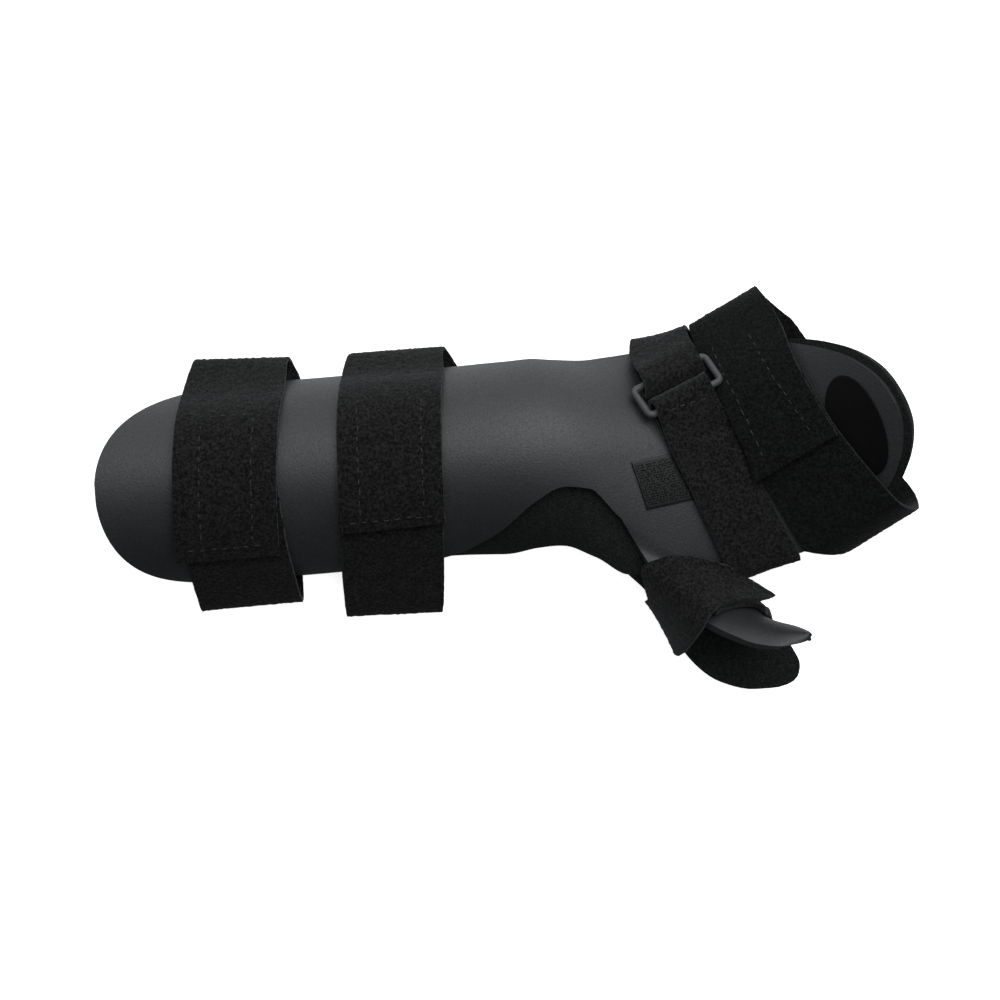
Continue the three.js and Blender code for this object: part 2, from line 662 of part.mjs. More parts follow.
function thumbEdge(edge) {
  const floor = STRAP_THICKNESS / 2;
  const low = PIECE_GAP + STRAP_THICKNESS / 2 + THUMB_EASE;
  const high = low + STRAP_THICKNESS + PIECE_GAP;
  const radial = THUMB_RADIAL_LOBE[edge];
  const radialGap = THUMB_RADIAL_GAP[edge];
  const web = THUMB_WEB_LOBE[edge];
  const [rising, reaching, ...under] = THUMB_UNDER[edge];
  const onFloor = (share, across, lift = 0) => lobe(share, across).setZ(floor + lift);
  const corners = [
    ...THUMB_OVER[edge].map(([share, across, rise]) => tongue(share, across, high + rise)),
    tongue(THUMB_RADIAL_EDGE[edge], -THUMB_EDGE_GAP[edge], -0.5),
    lobe(radial, -radialGap, 2),
    lobe(radial, -radialGap - 0.02, -3),
    onFloor(radial, 0.02, 2.2),
    onFloor(radial, 0.14),
    onFloor((radial + web) / 2, 0.5),
    onFloor(web, 0.86),
    onFloor(web, 1, 2.2),
    lobe(web, 1.07, -3),
    lobe(web, 1.07, 3),
    tongue(...rising, -1.5),
    tongue(...reaching, low + 0.6),
    ...under.map(([share, across]) => tongue(share, across, low)),
  ];
  const line = new THREE.CatmullRomCurve3(corners, false, "centripetal").getSpacedPoints(72);
  line.forEach((point) => point.setZ(Math.max(point.z, floor)));
  return line;
}

const thumb = ruledStrap("thumb_strap", thumbEdge);

// Hook patch on the palm and oval label on the finger end

function hookPatch(name) {
  const runs = spaced(...HOOK_PATCH.runs, 8);
  const arcs = spaced(...HOOK_PATCH.arcs, 5);
  const gained = (run) => HOOK_PATCH.tilt * (run - HOOK_PATCH.runs[0]);
  const rows = (lift) => runs.map((run) => arcs.map((arc) => onShell(run, arc + gained(run), lift)));
  const patch = { outer: rows(STUCK_GAP + HOOK_PATCH_THICKNESS), inner: rows(STUCK_GAP) };
  return sheet(name, [patch], COLOURS.hook, 0.9);
}

function ovalLabel(name) {
  const rows = (lift) => spaced(-90, 90, 13).map((degrees) => {
    const angle = THREE.MathUtils.degToRad(degrees);
    const run = LABEL.run + LABEL.halfRun * Math.sin(angle);
    const half = LABEL.halfArc * Math.cos(angle);
    return spaced(-half, half, 9).map((across) => (
      onShell(run + LABEL.tilt * across, LABEL.arc + across, lift)
    ));
  });
  const patch = { outer: rows(STUCK_GAP + LABEL_THICKNESS), inner: rows(STUCK_GAP) };
  return sheet(name, [patch], COLOURS.label, 0.4);
}

const patch = hookPatch("palm_hook_patch");
const label = ovalLabel("label");

// The whole, moved so that the floor under its middle is the origin

const splint = new THREE.Group();
splint.name = "resting_hand_splint";
const pieces = [
  shell, liner, forearmStrapProximal, forearmStrapDistal, palm, strapRing, fingerStrap, thumb, patch, label,
];
const bounds = new THREE.Box3();
for (const piece of pieces) {
  bounds.expandByObject(piece);
}
const middle = bounds.getCenter(new THREE.Vector3());
for (const piece of pieces) {
  piece.geometry.translate(-middle.x, -middle.y, -bounds.min.z);
  splint.add(piece);
}

export default splint;
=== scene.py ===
"""Resting hand splint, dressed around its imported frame.

Shapes are worked out in millimetres in the forearm's own frame: X runs from the elbow tip to the
fingers, Y to the little-finger (ulnar) side and Z up from the floor. placed() moves them to the
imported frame, in metres.
"""

import math

import bpy
import numpy as np
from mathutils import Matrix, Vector


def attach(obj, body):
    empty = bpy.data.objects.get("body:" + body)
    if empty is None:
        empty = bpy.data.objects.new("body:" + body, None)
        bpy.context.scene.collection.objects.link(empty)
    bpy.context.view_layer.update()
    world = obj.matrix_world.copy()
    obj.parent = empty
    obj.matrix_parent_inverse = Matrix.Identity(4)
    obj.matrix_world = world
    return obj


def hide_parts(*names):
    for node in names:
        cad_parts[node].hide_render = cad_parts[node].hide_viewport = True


bl_info = {
    "name": "Resting hand splint",
    "version": (1, 0, 0),
    "blender": (4, 5, 0),
    "location": "3D View > Sidebar > Splint",
    "description": "Builds a lined and strapped resting hand splint around its frame",
    "category": "Add Mesh",
}

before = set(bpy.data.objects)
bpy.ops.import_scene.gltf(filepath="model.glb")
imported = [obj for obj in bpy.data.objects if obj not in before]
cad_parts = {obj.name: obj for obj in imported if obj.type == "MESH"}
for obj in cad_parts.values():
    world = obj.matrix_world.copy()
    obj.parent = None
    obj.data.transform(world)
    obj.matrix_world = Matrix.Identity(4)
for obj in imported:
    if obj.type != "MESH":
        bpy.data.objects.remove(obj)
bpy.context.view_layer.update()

MM = 0.001

# Sizes of the moulded sheet, its lining and the straps, in millimetres
CREST_HEIGHT_AT_ELBOW = 35.5
SHELL_THICKNESS = 3.0
SHELL_LENGTH = 300.0
LINER_THICKNESS = 4.0
LINER_LENGTH = 302.0
LINER_INSET = 2.5
LINER_GAP = 0.5
PIECE_GAP = 0.35
STUCK_GAP = 0.3
STRAP_THICKNESS = 1.8
ELBOW_ROUND_ULNAR = 68.0
ELBOW_ROUND_RADIAL = 44.0
FINGER_ROUND = 45.0
TONGUE_CROWN = 2.0
CROWN_SHARE = 0.35
SEAM_BLEND = 0.25

# Sections of the sheet along its length.
# run: distance along X; drift: spine's Y; turn: degrees the section is turned about Z;
# slope: degrees the spine climbs; radii and edges: bend radius and arc length to each side,
# with edges of the lining's own.
STATION_COLUMNS = ("run", "drift", "turn", "slope", "ulnar_radius", "radial_radius",
                   "ulnar_edge", "radial_edge", "liner_ulnar", "liner_radial")
STATION_ROWS = np.array([
    (0, 0, 0, 3, 39, 39, 52, 50, 49, 47),
    (68, 0, 0, 3, 39, 38.5, 53, 50, 51, 48),
    (110, 0, 0, 3, 39, 38.5, 53, 47.5, 51, 47.5),
    (128, 0, 0, 3, 39, 38.5, 53, 42.5, 51, 51.5),
    (150, 0, 1, 1, 39.8, 40, 52, 28.5, 50, 51.5),
    (164, 0, 3, -4, 40.8, 43, 51, 16.5, 49, 43.6),
    (175, 0, 6, -9, 42.2, 50, 51, 11.3, 49, 40.3),
    (184, -0.5, 9, -14, 44, 75, 51, 12.4, 49, 42.4),
    (192, -1, 12, -17, 46, 120, 51, 24, 49, 48),
    (206, -1.8, 17, -18, 50, 180, 51, 38, 48, 47.5),
    (218, -2.5, 20, -17.5, 56, 180, 52, 45.5, 48, 45.5),
    (231, -3.2, 23, -15, 66, 180, 52.5, 46.5, 48, 45.5),
    (248, -3.5, 25, -2, 78, 150, 52, 44, 48, 43.5),
    (262, -1, 25, 18, 85, 130, 48.5, 39, 48, 40),
    (278, 4, 25, 27, 95, 120, 41, 39.5, 42.8, 42.5),
    (300, 12.5, 25, 28, 95, 120, 38.5, 38.5, 41.8, 41.8),
])

# Rails of the thumb tongue and of the lining's thumb lobe: share of their length, x, y, z
SEAM_RUNS = (192.0, 218.0)
TONGUE_RADIAL = np.array([
    (0.1, 203.2, -38, 31.7),
    (0.2, 207, -44.6, 32.5),
    (0.3, 212.2, -52.9, 35),
    (0.42, 219.1, -61.2, 40),
    (0.54, 226.2, -66.4, 45.5),
    (0.66, 233.7, -70.8, 50.5),
    (0.8, 242.7, -74.7, 54.5),
    (0.91, 251.6, -76, 56.5),
    (0.97, 258.3, -75.4, 56.4),
    (1, 261.4, -74.4, 55.6),
])
TONGUE_WEB = np.array([
    (0.2, 239.2, -54.3, 22.5),
    (0.42, 244.4, -62.4, 26.4),
    (0.54, 248.2, -66, 31),
    (0.66, 252.4, -67.9, 36.4),
    (0.8, 257.9, -69.6, 43.5),
    (0.91, 261, -71.1, 50),
    (0.97, 262.4, -72.2, 52.8),
    (1, 262.6, -73, 54.4),
])
LOBE_RADIAL = np.array([
    (0.33, 204.9, -54, 20.6),
    (0.5, 211.5, -66.1, 18.2),
    (0.66, 219.1, -80.4, 16.4),
    (0.8, 230.3, -90.2, 15.5),
    (0.91, 243.4, -93.9, 15.5),
    (0.97, 251, -93.9, 15.9),
    (1, 255.6, -93, 16),
])
LOBE_WEB = np.array([
    (0.33, 240.2, -56, 16.4),
    (0.5, 247.4, -64.6, 15.8),
    (0.66, 254.6, -72.9, 15.8),
    (0.8, 259, -80.1, 16),
    (0.91, 260.9, -85.7, 16),
    (0.97, 260, -89.8, 16),
    (1, 258, -91.9, 16),
])

# Straps: where each lies, where its ends lap, and how it hangs to the floor on each side.
# runs: of its near and far edge, with over_runs for an upper layer that differs; lift: gap under it;
# outer_end, inner_end: arcs of its lapped ends; skew: arc added at the far edge; over, under: shift of the
# upper and the lower layer along the run, at SHIFT_ARC from the spine on the ulnar and the radial side;
# leave: arc where it leaves the shell; floor: half width of its flat bottom; lean: shift along the heading
# at the bottom; sweep: how much less of it the bulge has; veer: shift along the heading where it leaves
# the shell; reach, tuck: handles of the bulge; lower_bar, fold_return: arc of the ring's lower bar and
# length of the fold's return. Two values are for the near and the far edge; one that isn't given is 0.
SHIFT_ARC = 45.0
FOREARM_STRAP_PROXIMAL = {
    "runs": (30.1, 69.2), "lift": 0.4, "outer_end": -28.5, "inner_end": 14, "skew": 0.5,
    "over": {"ulnar": (3.2, 3.5), "radial": -3.7}, "under": {"ulnar": (3.4, 3.5), "radial": 1.2},
    "ulnar": {"leave": 36, "floor": 36, "lean": 10, "sweep": (0, 7), "reach": (22, 18), "tuck": (24, 21)},
    "radial": {"leave": 36, "floor": 35, "lean": 4, "reach": (18, 14.5), "tuck": 23},
}
FOREARM_STRAP_DISTAL = {
    "runs": (92.2, 131.4), "lift": 0.4, "outer_end": -21.3, "inner_end": 18, "skew": 1,
    "over": {"ulnar": 1.7, "radial": -2}, "under": {"ulnar": 1.9, "radial": -4},
    "ulnar": {"leave": 42, "floor": 36, "lean": (10, 9), "sweep": (4, 9), "reach": (13, 11.5), "tuck": 20},
    "radial": {"leave": 30, "floor": 42, "lean": (-3, -6), "reach": (23, 30), "tuck": 26},
}
FINGER_STRAP = {
    "runs": (245, 279.5), "lift": (0.8, 0.95), "outer_end": -12.8, "inner_end": 14, "skew": 9,
    "over": {"ulnar": (5, -2.1), "radial": (-9, 0)}, "under": {"ulnar": (5, -2.1), "radial": (3, 5.2)},
    "ulnar": {"leave": (42, 38), "floor": (40, 42), "lean": 9, "sweep": (0, 12), "reach": (17, 25),
              "tuck": (19, 29)},
    "radial": {"leave": (43, 36), "floor": 32, "lean": (20, 16), "sweep": (-8, -4), "veer": (15, 0),
               "reach": (14, 7), "tuck": (24, 19)},
}
PALM_STRAP = {
    "runs": (217, 244.4), "over_runs": (211.2, 245.3), "lift": (1.75, 0.6), "skew": 11.3, "lower_bar": 16,
    "fold_return": 11,
    "over": {"ulnar": (13.5, 4.1)}, "under": {"ulnar": (2.4, 3.9), "radial": (2.7, 0.5)},
    "ulnar": {"leave": 47, "floor": 38, "lean": 8, "reach": (6, 5), "tuck": 16},
    "radial": {"leave": 46, "floor": (38, 35), "lean": (19, 3), "reach": (11.5, 1), "tuck": (18, 10)},
}

# A lapped strap's upper layer: how far it lies flat past the inner end, and runs down to the shell
LAP_CLEAR = 2.0
LAP_RAMP = 16.0
# The palm strap's way up over the return of its lower fold and down past that of its upper one.
# Arcs are from the end of the return, those of the crest from the bar; rises are over the lift at which
# the strap clears the return, and the drop is from the top of the fold.
CLIMB = {"middle": 8.0, "flat": 13.0, "foot": 7.0, "over": 1.0, "over_rise": 0.1, "crest": 5.0,
         "crest_rise": 1.6}
DESCENT = {"crest": 5.0, "crest_drop": 0.5, "past": 0.5, "past_rise": 1.6, "foot": 4.0, "foot_rise": 0.6}

# Thumb strap's two layers on the tongue, as share and across, for its near and its far edge: the
# upper one, with its rise, from its free end to the tongue's radial edge, the lower one from the web
THUMB_OVER = (
    np.array([(0, 1.06, 1.5), (0.015, 0.84, 0.9), (0.033, 0.67, 0.3), (0.072, 0.38, 0), (0.15, 0.09, 0)]),
    np.array([(0.27, 1.38, 0.9), (0.425, 1.02, 0.3), (0.47, 0.58, 0), (0.49, 0.27, 0), (0.52, 0.05, 0)]),
)
THUMB_UNDER = (
    np.array([(0.24, 1.11), (0.2, 1.01), (0.18, 0.68), (0.2, 0.35), (0.22, 0.15)]),
    np.array([(0.53, 1.13), (0.46, 1.02), (0.465, 0.68), (0.49, 0.35), (0.51, 0.15)]),
)
THUMB_RADIAL_EDGE = (0.2, 0.53)
THUMB_EDGE_GAP = (0.115, 0.08)
THUMB_RADIAL_LOBE = (0.39, 0.63)
THUMB_RADIAL_GAP = (0.045, 0.06)
THUMB_WEB_LOBE = (0.24, 0.5)
THUMB_WEB_GAP = 0.07
# Its gap on the tongue, its lifts beside the tongue and the lobe, how far it bulges below the lobe, its
# height where it turns to the floor and its corners there, and its lifts where it comes up past the web
THUMB_EASE = 0.4
THUMB_SIDE_DROP = 0.5
THUMB_LOBE_OVER = (2.0, 3.0)
THUMB_LOBE_UNDER = 3.0
THUMB_BULGE = 0.02
THUMB_FLOOR_TURN = 2.2
THUMB_FLOOR_ACROSS = (0.02, 0.14, 0.5, 0.86, 1.0)
THUMB_WEB_LIFTS = (-1.5, 0.6)

# Ring that joins the palm strap's two ends
RING_BAR_RADIUS = 1.35
RING_SPACING = 12.0
RING_WIDTH = 31.7
RING_CORNER = 1.9
RING_LIFTS = (4.7, 7.0)
RING_FOLD_GAP = 1.1
FOLD_RADIUS = RING_BAR_RADIUS + RING_FOLD_GAP + STRAP_THICKNESS / 2
FOLD_SLACK = 1.3
FOLD_SEAM = 4.5
FOLD_STEPS = 9

HOOK_PATCH_RUNS = (201.0, 226.0)
HOOK_PATCH_ARCS = (-21.5, -2.5)
HOOK_PATCH_TILT = 0.19
HOOK_PATCH_THICKNESS = 0.6
LABEL_CENTRE = (285.2, -4.2)
LABEL_HALF_AXES = (8.6, 20.0)
LABEL_TILT = 0.11
LABEL_THICKNESS = 0.4
LABEL_EDGE = 0.15

# Rows of stitching: start and end as distances along the strap from its outer end, or back from its
# inner end where negative, and across it from its near edge
FOLD_STITCHING = -(PALM_STRAP["fold_return"] + math.pi * FOLD_RADIUS + FOLD_SEAM)
STITCHING = {
    "forearm_strap_proximal": [
        ((9, 10), (55, 10)), ((7, 29.5), (57, 29.5)), ((5.5, 4), (5.5, 33)), ((58, 12), (58, 28)),
    ],
    "forearm_strap_distal": [((6, 7.5), (53, 7.5)), ((7, 31), (51, 31)), ((4, 2.5), (4, 35))],
    "finger_strap": [((6, 6), (54, 6)), ((6, 26), (54, 20.5))],
    "palm_strap": [((FOLD_STITCHING, 3), (FOLD_STITCHING, 20))],
}


# Curves and surfaces of the moulded sheet


def curve_through(at, values):
    """Cubic through points that keeps to their rise and fall.

    Each tangent is the weighted harmonic mean of the slopes beside it, or level where they differ
    in sign, and a Hermite cubic joins the points.
    """
    at = np.asarray(at, float)
    values = np.asarray(values, float)
    step = np.diff(at)
    rise = np.diff(values) / step
    level = rise[:-1] * rise[1:] <= 0
    safe = np.where(rise == 0, 1, rise)
    before = 2 * step[1:] + step[:-1]
    after = step[1:] + 2 * step[:-1]
    weight = np.where(level, 1, before / safe[:-1] + after / safe[1:])
    inner = np.where(level, 0, (before + after) / weight)
    tangent = np.concatenate([rise[:1], inner, rise[-1:]])

    def curve(a):
        """Value of the cubic that spans a."""
        a = np.asarray(a, float)
        i = np.clip(np.searchsorted(at, a) - 1, 0, len(step) - 1)
        t = (a - at[i]) / step[i]
        start = (1 + 2 * t) * (1 - t) ** 2 * values[i] + t * (1 - t) ** 2 * step[i] * tangent[i]
        end = t * t * (3 - 2 * t) * values[i + 1] + t * t * (t - 1) * step[i] * tangent[i + 1]
        return start + end

    return curve


def smooth(t):
    """Step from 0 to 1 that starts and ends level: 3t² − 2t³."""
    t = np.clip(t, 0, 1)
    return t * t * (3 - 2 * t)


def unit(vectors):
    """Vectors divided by their lengths."""
    return vectors / np.linalg.norm(vectors, axis=-1, keepdims=True)


def rounded_end(distance, length):
    """Quarter of an ellipse: sqrt(1 − (1 − d/L)²) up to the length, then 1."""
    return np.sqrt(np.clip(1 - np.clip(1 - distance / length, 0, None) ** 2, 0, None))


STATION = {
    name: curve_through(STATION_ROWS[:, 0], column)
    for name, column in zip(STATION_COLUMNS, STATION_ROWS.T)
}
CREST_STEP = 0.25
CREST_RUNS = np.arange(0, SHELL_LENGTH + 2 * CREST_STEP, CREST_STEP)


def crest_heights():
    """Heights of the spine: the tangent of its slope times each step forward, added up."""
    turn = np.radians(STATION["turn"](CREST_RUNS[1:]))
    sideways = np.diff(STATION["drift"](CREST_RUNS))
    forward = np.cos(turn) * CREST_STEP + np.sin(turn) * sideways
    climb = np.tan(np.radians(STATION["slope"](CREST_RUNS[1:])))
    return CREST_HEIGHT_AT_ELBOW + np.concatenate([[0], np.cumsum(climb * forward)])


CREST_HEIGHTS = crest_heights()


def section(run):
    """Axes of the section at a run: heading and side are level, forward and normal lean with the slope."""
    run = np.asarray(run, float)
    inside = np.clip(run, 0, SHELL_LENGTH)
    turn = np.radians(STATION["turn"](inside))
    slope = np.radians(STATION["slope"](inside))
    nought = np.zeros_like(inside)
    heading = np.stack([np.cos(turn), np.sin(turn), nought], -1)
    side = np.stack([-np.sin(turn), np.cos(turn), nought], -1)
    up = np.array([0, 0, 1.0])
    forward = heading * np.cos(slope)[..., None] + up * np.sin(slope)[..., None]
    normal = up * np.cos(slope)[..., None] - heading * np.sin(slope)[..., None]
    height = np.interp(inside, CREST_RUNS, CREST_HEIGHTS)
    crest = np.stack([inside, STATION["drift"](inside), height], -1) + forward * (run - inside)[..., None]
    return inside, crest, heading, side, normal


def on_shell(run, arc, lift=0.0):
    """Points at a run, an arc from the spine (ulnar positive) and a lift off the shell's outer face.

    Each section is two circle arcs that share the spine's normal: sideways (r + lift)·sin(arc/r)
    and along the normal (r + lift)·cos(arc/r) − r.
    """
    run, arc, lift = np.broadcast_arrays(np.asarray(run, float), np.asarray(arc, float), lift)
    inside, crest, _, side, normal = section(run)
    radius = np.where(arc >= 0, STATION["ulnar_radius"](inside), STATION["radial_radius"](inside))
    sideways = (radius + lift) * np.sin(arc / radius)
    upwards = (radius + lift) * np.cos(arc / radius) - radius
    return crest + side * sideways[..., None] + normal * upwards[..., None]


LEAF_STEP = 0.01


def leaf(radial_rail, web_rail, radial_start, web_start, crown):
    """Surface between two rails: straight across, crowned by a parabola, raised by a lift on its normal."""
    curves = []
    for rail, start in ((radial_rail, radial_start), (web_rail, web_start)):
        share = np.concatenate([[0], rail[:, 0]])
        curves.append([curve_through(share, np.concatenate([[start[i]], rail[:, i + 1]])) for i in range(3)])

    def flat(share, across):
        """Points on the straight lines from the radial to the web rail."""
        radial, web = (np.stack([curve(share) for curve in axes], -1) for axes in curves)
        return radial + (web - radial) * np.asarray(across)[..., None]

    def surface(share, across, lift=0.0):
        """Points of the crowned surface, moved along its normal by the lift."""
        share, across, lift = np.broadcast_arrays(np.asarray(share, float), across, lift)
        near = np.clip(share, LEAF_STEP, 1 - LEAF_STEP)
        along = flat(near + LEAF_STEP, across) - flat(near - LEAF_STEP, across)
        chord = flat(near, np.ones_like(near)) - flat(near, np.zeros_like(near))
        normal = unit(np.cross(along, chord))
        bulge = crown * smooth(share / CROWN_SHARE) * 4 * across * (1 - across)
        return flat(share, across) + normal * (bulge + lift)[..., None]

    return surface


def seam_ends(edge, lift):
    """Both ends of a leaf's seam on the radial edge of its sheet."""
    return [on_shell(run, -STATION[edge](run), lift) for run in SEAM_RUNS]


LINER_OUTER = -SHELL_THICKNESS - LINER_GAP
TONGUE = leaf(TONGUE_RADIAL, TONGUE_WEB, *seam_ends("radial_edge", 0.0), TONGUE_CROWN)
LOBE = leaf(LOBE_RADIAL, LOBE_WEB, *seam_ends("liner_radial", LINER_OUTER), 0.0)


# Meshes


def elbow_tip():
    """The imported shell's vertex with the least X, which is the forearm frame's elbow tip."""
    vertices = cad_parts["shell"].data.vertices
    points = np.empty(len(vertices) * 3)
    vertices.foreach_get("co", points)
    points = points.reshape(-1, 3)
    return points[points[:, 0].argmin()]


FRAME_OFFSET = elbow_tip() - np.array([0, 0, CREST_HEIGHT_AT_ELBOW]) * MM


def placed(points):
    """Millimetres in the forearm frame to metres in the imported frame."""
    return np.asarray(points) * MM + FRAME_OFFSET


def grid_faces(rows, columns, closed_rows=False, closed_columns=False):
    """Quads of a grid of vertices, turned so that rows cross columns gives the outward normal."""
    number = np.arange(rows * columns).reshape(rows, columns)
    if closed_rows:
        number = np.concatenate([number, number[:1]])
    if closed_columns:
        number = np.concatenate([number, number[:, :1]], axis=1)
    quads = np.stack([number[:-1, :-1], number[1:, :-1], number[1:, 1:], number[:-1, 1:]], -1)
    return quads.reshape(-1, 4)


WELD_PER_MM = 1000


def welded(patches):
    """Vertices and faces of several grids, with vertices that lie at the same place made one."""
    points = np.concatenate([patch.reshape(-1, 3) for patch in patches])
    starts = np.cumsum([0] + [patch.shape[0] * patch.shape[1] for patch in patches])
    faces = np.concatenate([grid_faces(*patch.shape[:2]) + start for patch, start in zip(patches, starts)])
    keys = np.round(points * WELD_PER_MM).astype(np.int64)
    _, first, back = np.unique(keys, axis=0, return_index=True, return_inverse=True)
    return points[first], back.reshape(-1)[faces]


def add_piece(name, points, faces, material):
    """Puts arrays of millimetres into a smooth mesh object of the root body, with a material."""
    mesh = bpy.data.meshes.new(name)
    mesh.from_pydata(placed(points).tolist(), [], faces.tolist())
    mesh.shade_smooth()
    mesh.materials.append(material)
    piece = bpy.data.objects.new(name, mesh)
    bpy.context.collection.objects.link(piece)
    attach(piece, "root")
    return piece


def wires(centre, side, upper, radius, sides):
    """Vertices and faces of many wires with closed ends, each carried along a row of centre points.

    A ring's vertices are at centre + radius·(side·cos + upper·sin). An end is a fan of quads.
    """
    count, rings = centre.shape[:2]
    angle = np.arange(sides) * 2 * np.pi / sides
    ring = side[:, :, None] * np.cos(angle)[:, None] + upper[:, :, None] * np.sin(angle)[:, None]
    points = centre[:, :, None] + ring * np.broadcast_to(radius, rings)[:, None, None]
    tube = grid_faces(rings, sides, closed_columns=True)
    first = np.arange(1, sides - 1, 2)
    foot = np.stack([0 * first, first, first + 1, first + 2], -1)
    wire = np.concatenate([tube, foot, rings * sides - 1 - foot])
    starts = np.arange(count) * rings * sides
    return points.reshape(-1, 3), (wire[None] + starts[:, None, None]).reshape(-1, 4)


CUT_EDGE_ANGLE = math.radians(50)


def thicken(piece, thickness, offset, edge, segments=2):
    """Gives a sheet its thickness with Solidify and rounds its cut edges with Bevel, in metres."""
    wall = piece.modifiers.new("Thickness", "SOLIDIFY")
    wall.thickness = thickness
    wall.offset = offset
    wall.use_quality_normals = True
    rounding = piece.modifiers.new("Cut edge", "BEVEL")
    rounding.width = edge
    rounding.segments = segments
    rounding.limit_method = "ANGLE"
    rounding.angle_limit = CUT_EDGE_ANGLE


# Materials


def linear(hex_colour):
    """Linear RGBA of an sRGB hex colour."""
    channels = [(hex_colour >> shift & 255) / 255 for shift in (16, 8, 0)]
    return [*(c / 12.92 if c <= 0.04045 else ((c + 0.055) / 1.055) ** 2.4 for c in channels), 1.0]


def add_node(tree, kind, inputs=(), **settings):
    """Adds a node with its settings, and sets or links each input by name or number."""
    node = tree.nodes.new(kind)
    for name, value in settings.items():
        setattr(node, name, value)
    for socket, value in dict(inputs).items():
        if isinstance(value, bpy.types.NodeSocket):
            tree.links.new(value, node.inputs[socket])
        else:
            node.inputs[socket].default_value = value
    return node


def material_named(name, fill, *settings):
    """The material of that name, or a new one whose empty node tree a function fills."""
    material = bpy.data.materials.get(name)
    if material is None:
        material = bpy.data.materials.new(name)
        material.use_nodes = True
        tree = material.node_tree
        tree.nodes.clear()
        shader = fill(tree, add_node(tree, "ShaderNodeTexCoord").outputs["Object"], *settings)
        add_node(tree, "ShaderNodeOutputMaterial", {"Surface": shader.outputs[0]})
    return material


def moulded_thermoplastic(tree, place, dark, light):
    """Splinting thermoplastic moulded over a textured face: satin, with pebbles of about 0.8 mm.

    The pebbles break the soft highlight into fine bright specks, and the body is mottled a little. Its colour
    follows the pebbles' height and is darker in their hollows, which is painted shade.
    """
    pebble = add_node(tree, "ShaderNodeTexNoise",
                      {"Vector": place, "Scale": 1 / (0.8 * MM), "Detail": 2.0, "Roughness": 0.6})
    cloud = add_node(tree, "ShaderNodeTexNoise",
                     {"Vector": place, "Scale": 1 / (30 * MM), "Detail": 3.0, "Roughness": 0.6})
    grain = add_node(tree, "ShaderNodeMapRange",
                     {"Value": pebble.outputs["Fac"], "From Min": 0.32, "From Max": 0.68})
    shade = add_node(tree, "ShaderNodeMath", {0: grain.outputs[0], 1: cloud.outputs["Fac"]},
                     operation="MULTIPLY")
    # painted shade: the colour is darker where the pebble noise is low, in the pebbles' hollows, and the
    # broad cloud mottles it
    colour = add_node(tree, "ShaderNodeMix",
                      {0: shade.outputs[0], 6: dark, 7: light}, data_type="RGBA")
    rough = add_node(tree, "ShaderNodeMapRange", {"Value": grain.outputs[0], "To Min": 0.54, "To Max": 0.42})
    bump = add_node(tree, "ShaderNodeBump", {"Height": pebble.outputs["Fac"], "Strength": 0.45,
                                             "Distance": 0.25 * MM})
    return add_node(tree, "ShaderNodeBsdfPrincipled", {
        "Base Color": colour.outputs[2], "Roughness": rough.outputs[0], "Normal": bump.outputs[0],
        "Specular IOR Level": 0.6, "Specular Tint": linear(0xf9fbfc), "IOR": 1.46})


def raised_cloth(tree, place, dark, light, tuft, relief, sheen):
    """Cloth with a raised pile: tufts of a given size in millimetres, darker in their hollows than on their
    tips as painted shade.

    Broader clumps four tufts wide vary it, and a dim sheen lightens it where it turns from the eye.
    """
    tufts = add_node(tree, "ShaderNodeTexNoise",
                     {"Vector": place, "Scale": 1 / (tuft * MM), "Detail": 3.0, "Roughness": 0.65})
    clumps = add_node(tree, "ShaderNodeTexNoise",
                      {"Vector": place, "Scale": 1 / (4 * tuft * MM), "Detail": 1.0})
    tips = add_node(tree, "ShaderNodeMapRange",
                    {"Value": tufts.outputs["Fac"], "From Min": 0.39, "From Max": 0.645})
    clump = add_node(tree, "ShaderNodeMapRange",
                     {"Value": clumps.outputs["Fac"], "From Min": 0.3, "From Max": 0.7, "To Min": 0.75})
    shade = add_node(tree, "ShaderNodeMath", {0: tips.outputs[0], 1: clump.outputs[0]}, operation="MULTIPLY")
    # painted shade: the colour is darker where the tuft noise is low, in the pile's hollows, and the clumps
    # vary it at random
    colour = add_node(tree, "ShaderNodeMix", {0: shade.outputs[0], 6: dark, 7: light}, data_type="RGBA")
    bump = add_node(tree, "ShaderNodeBump", {"Height": tufts.outputs["Fac"], "Strength": 0.9,
                                             "Distance": relief * MM})
    return add_node(tree, "ShaderNodeBsdfPrincipled", {
        "Base Color": colour.outputs[2], "Roughness": 0.95, "Normal": bump.outputs[0],
        "Specular IOR Level": 0.1, "Sheen Weight": sheen, "Sheen Roughness": 0.45,
        "Sheen Tint": linear(0x9a9da0)})


def moulded_plastic(tree, place, dark, light, roughness, specular):
    """Moulded plastic or film: faint mottling and a fine orange peel of about 0.5 mm under a soft gloss."""
    mottle = add_node(tree, "ShaderNodeTexNoise", {"Vector": place, "Scale": 1 / (2.5 * MM), "Detail": 3.0})
    peel = add_node(tree, "ShaderNodeTexNoise", {"Vector": place, "Scale": 1 / (0.5 * MM), "Detail": 2.0})
    colour = add_node(tree, "ShaderNodeMix", {0: mottle.outputs["Fac"], 6: dark, 7: light}, data_type="RGBA")
    bump = add_node(tree, "ShaderNodeBump", {"Height": peel.outputs["Fac"], "Strength": 0.3,
                                             "Distance": 0.06 * MM})
    return add_node(tree, "ShaderNodeBsdfPrincipled", {
        "Base Color": colour.outputs[2], "Roughness": roughness, "Normal": bump.outputs[0],
        "Specular IOR Level": specular})


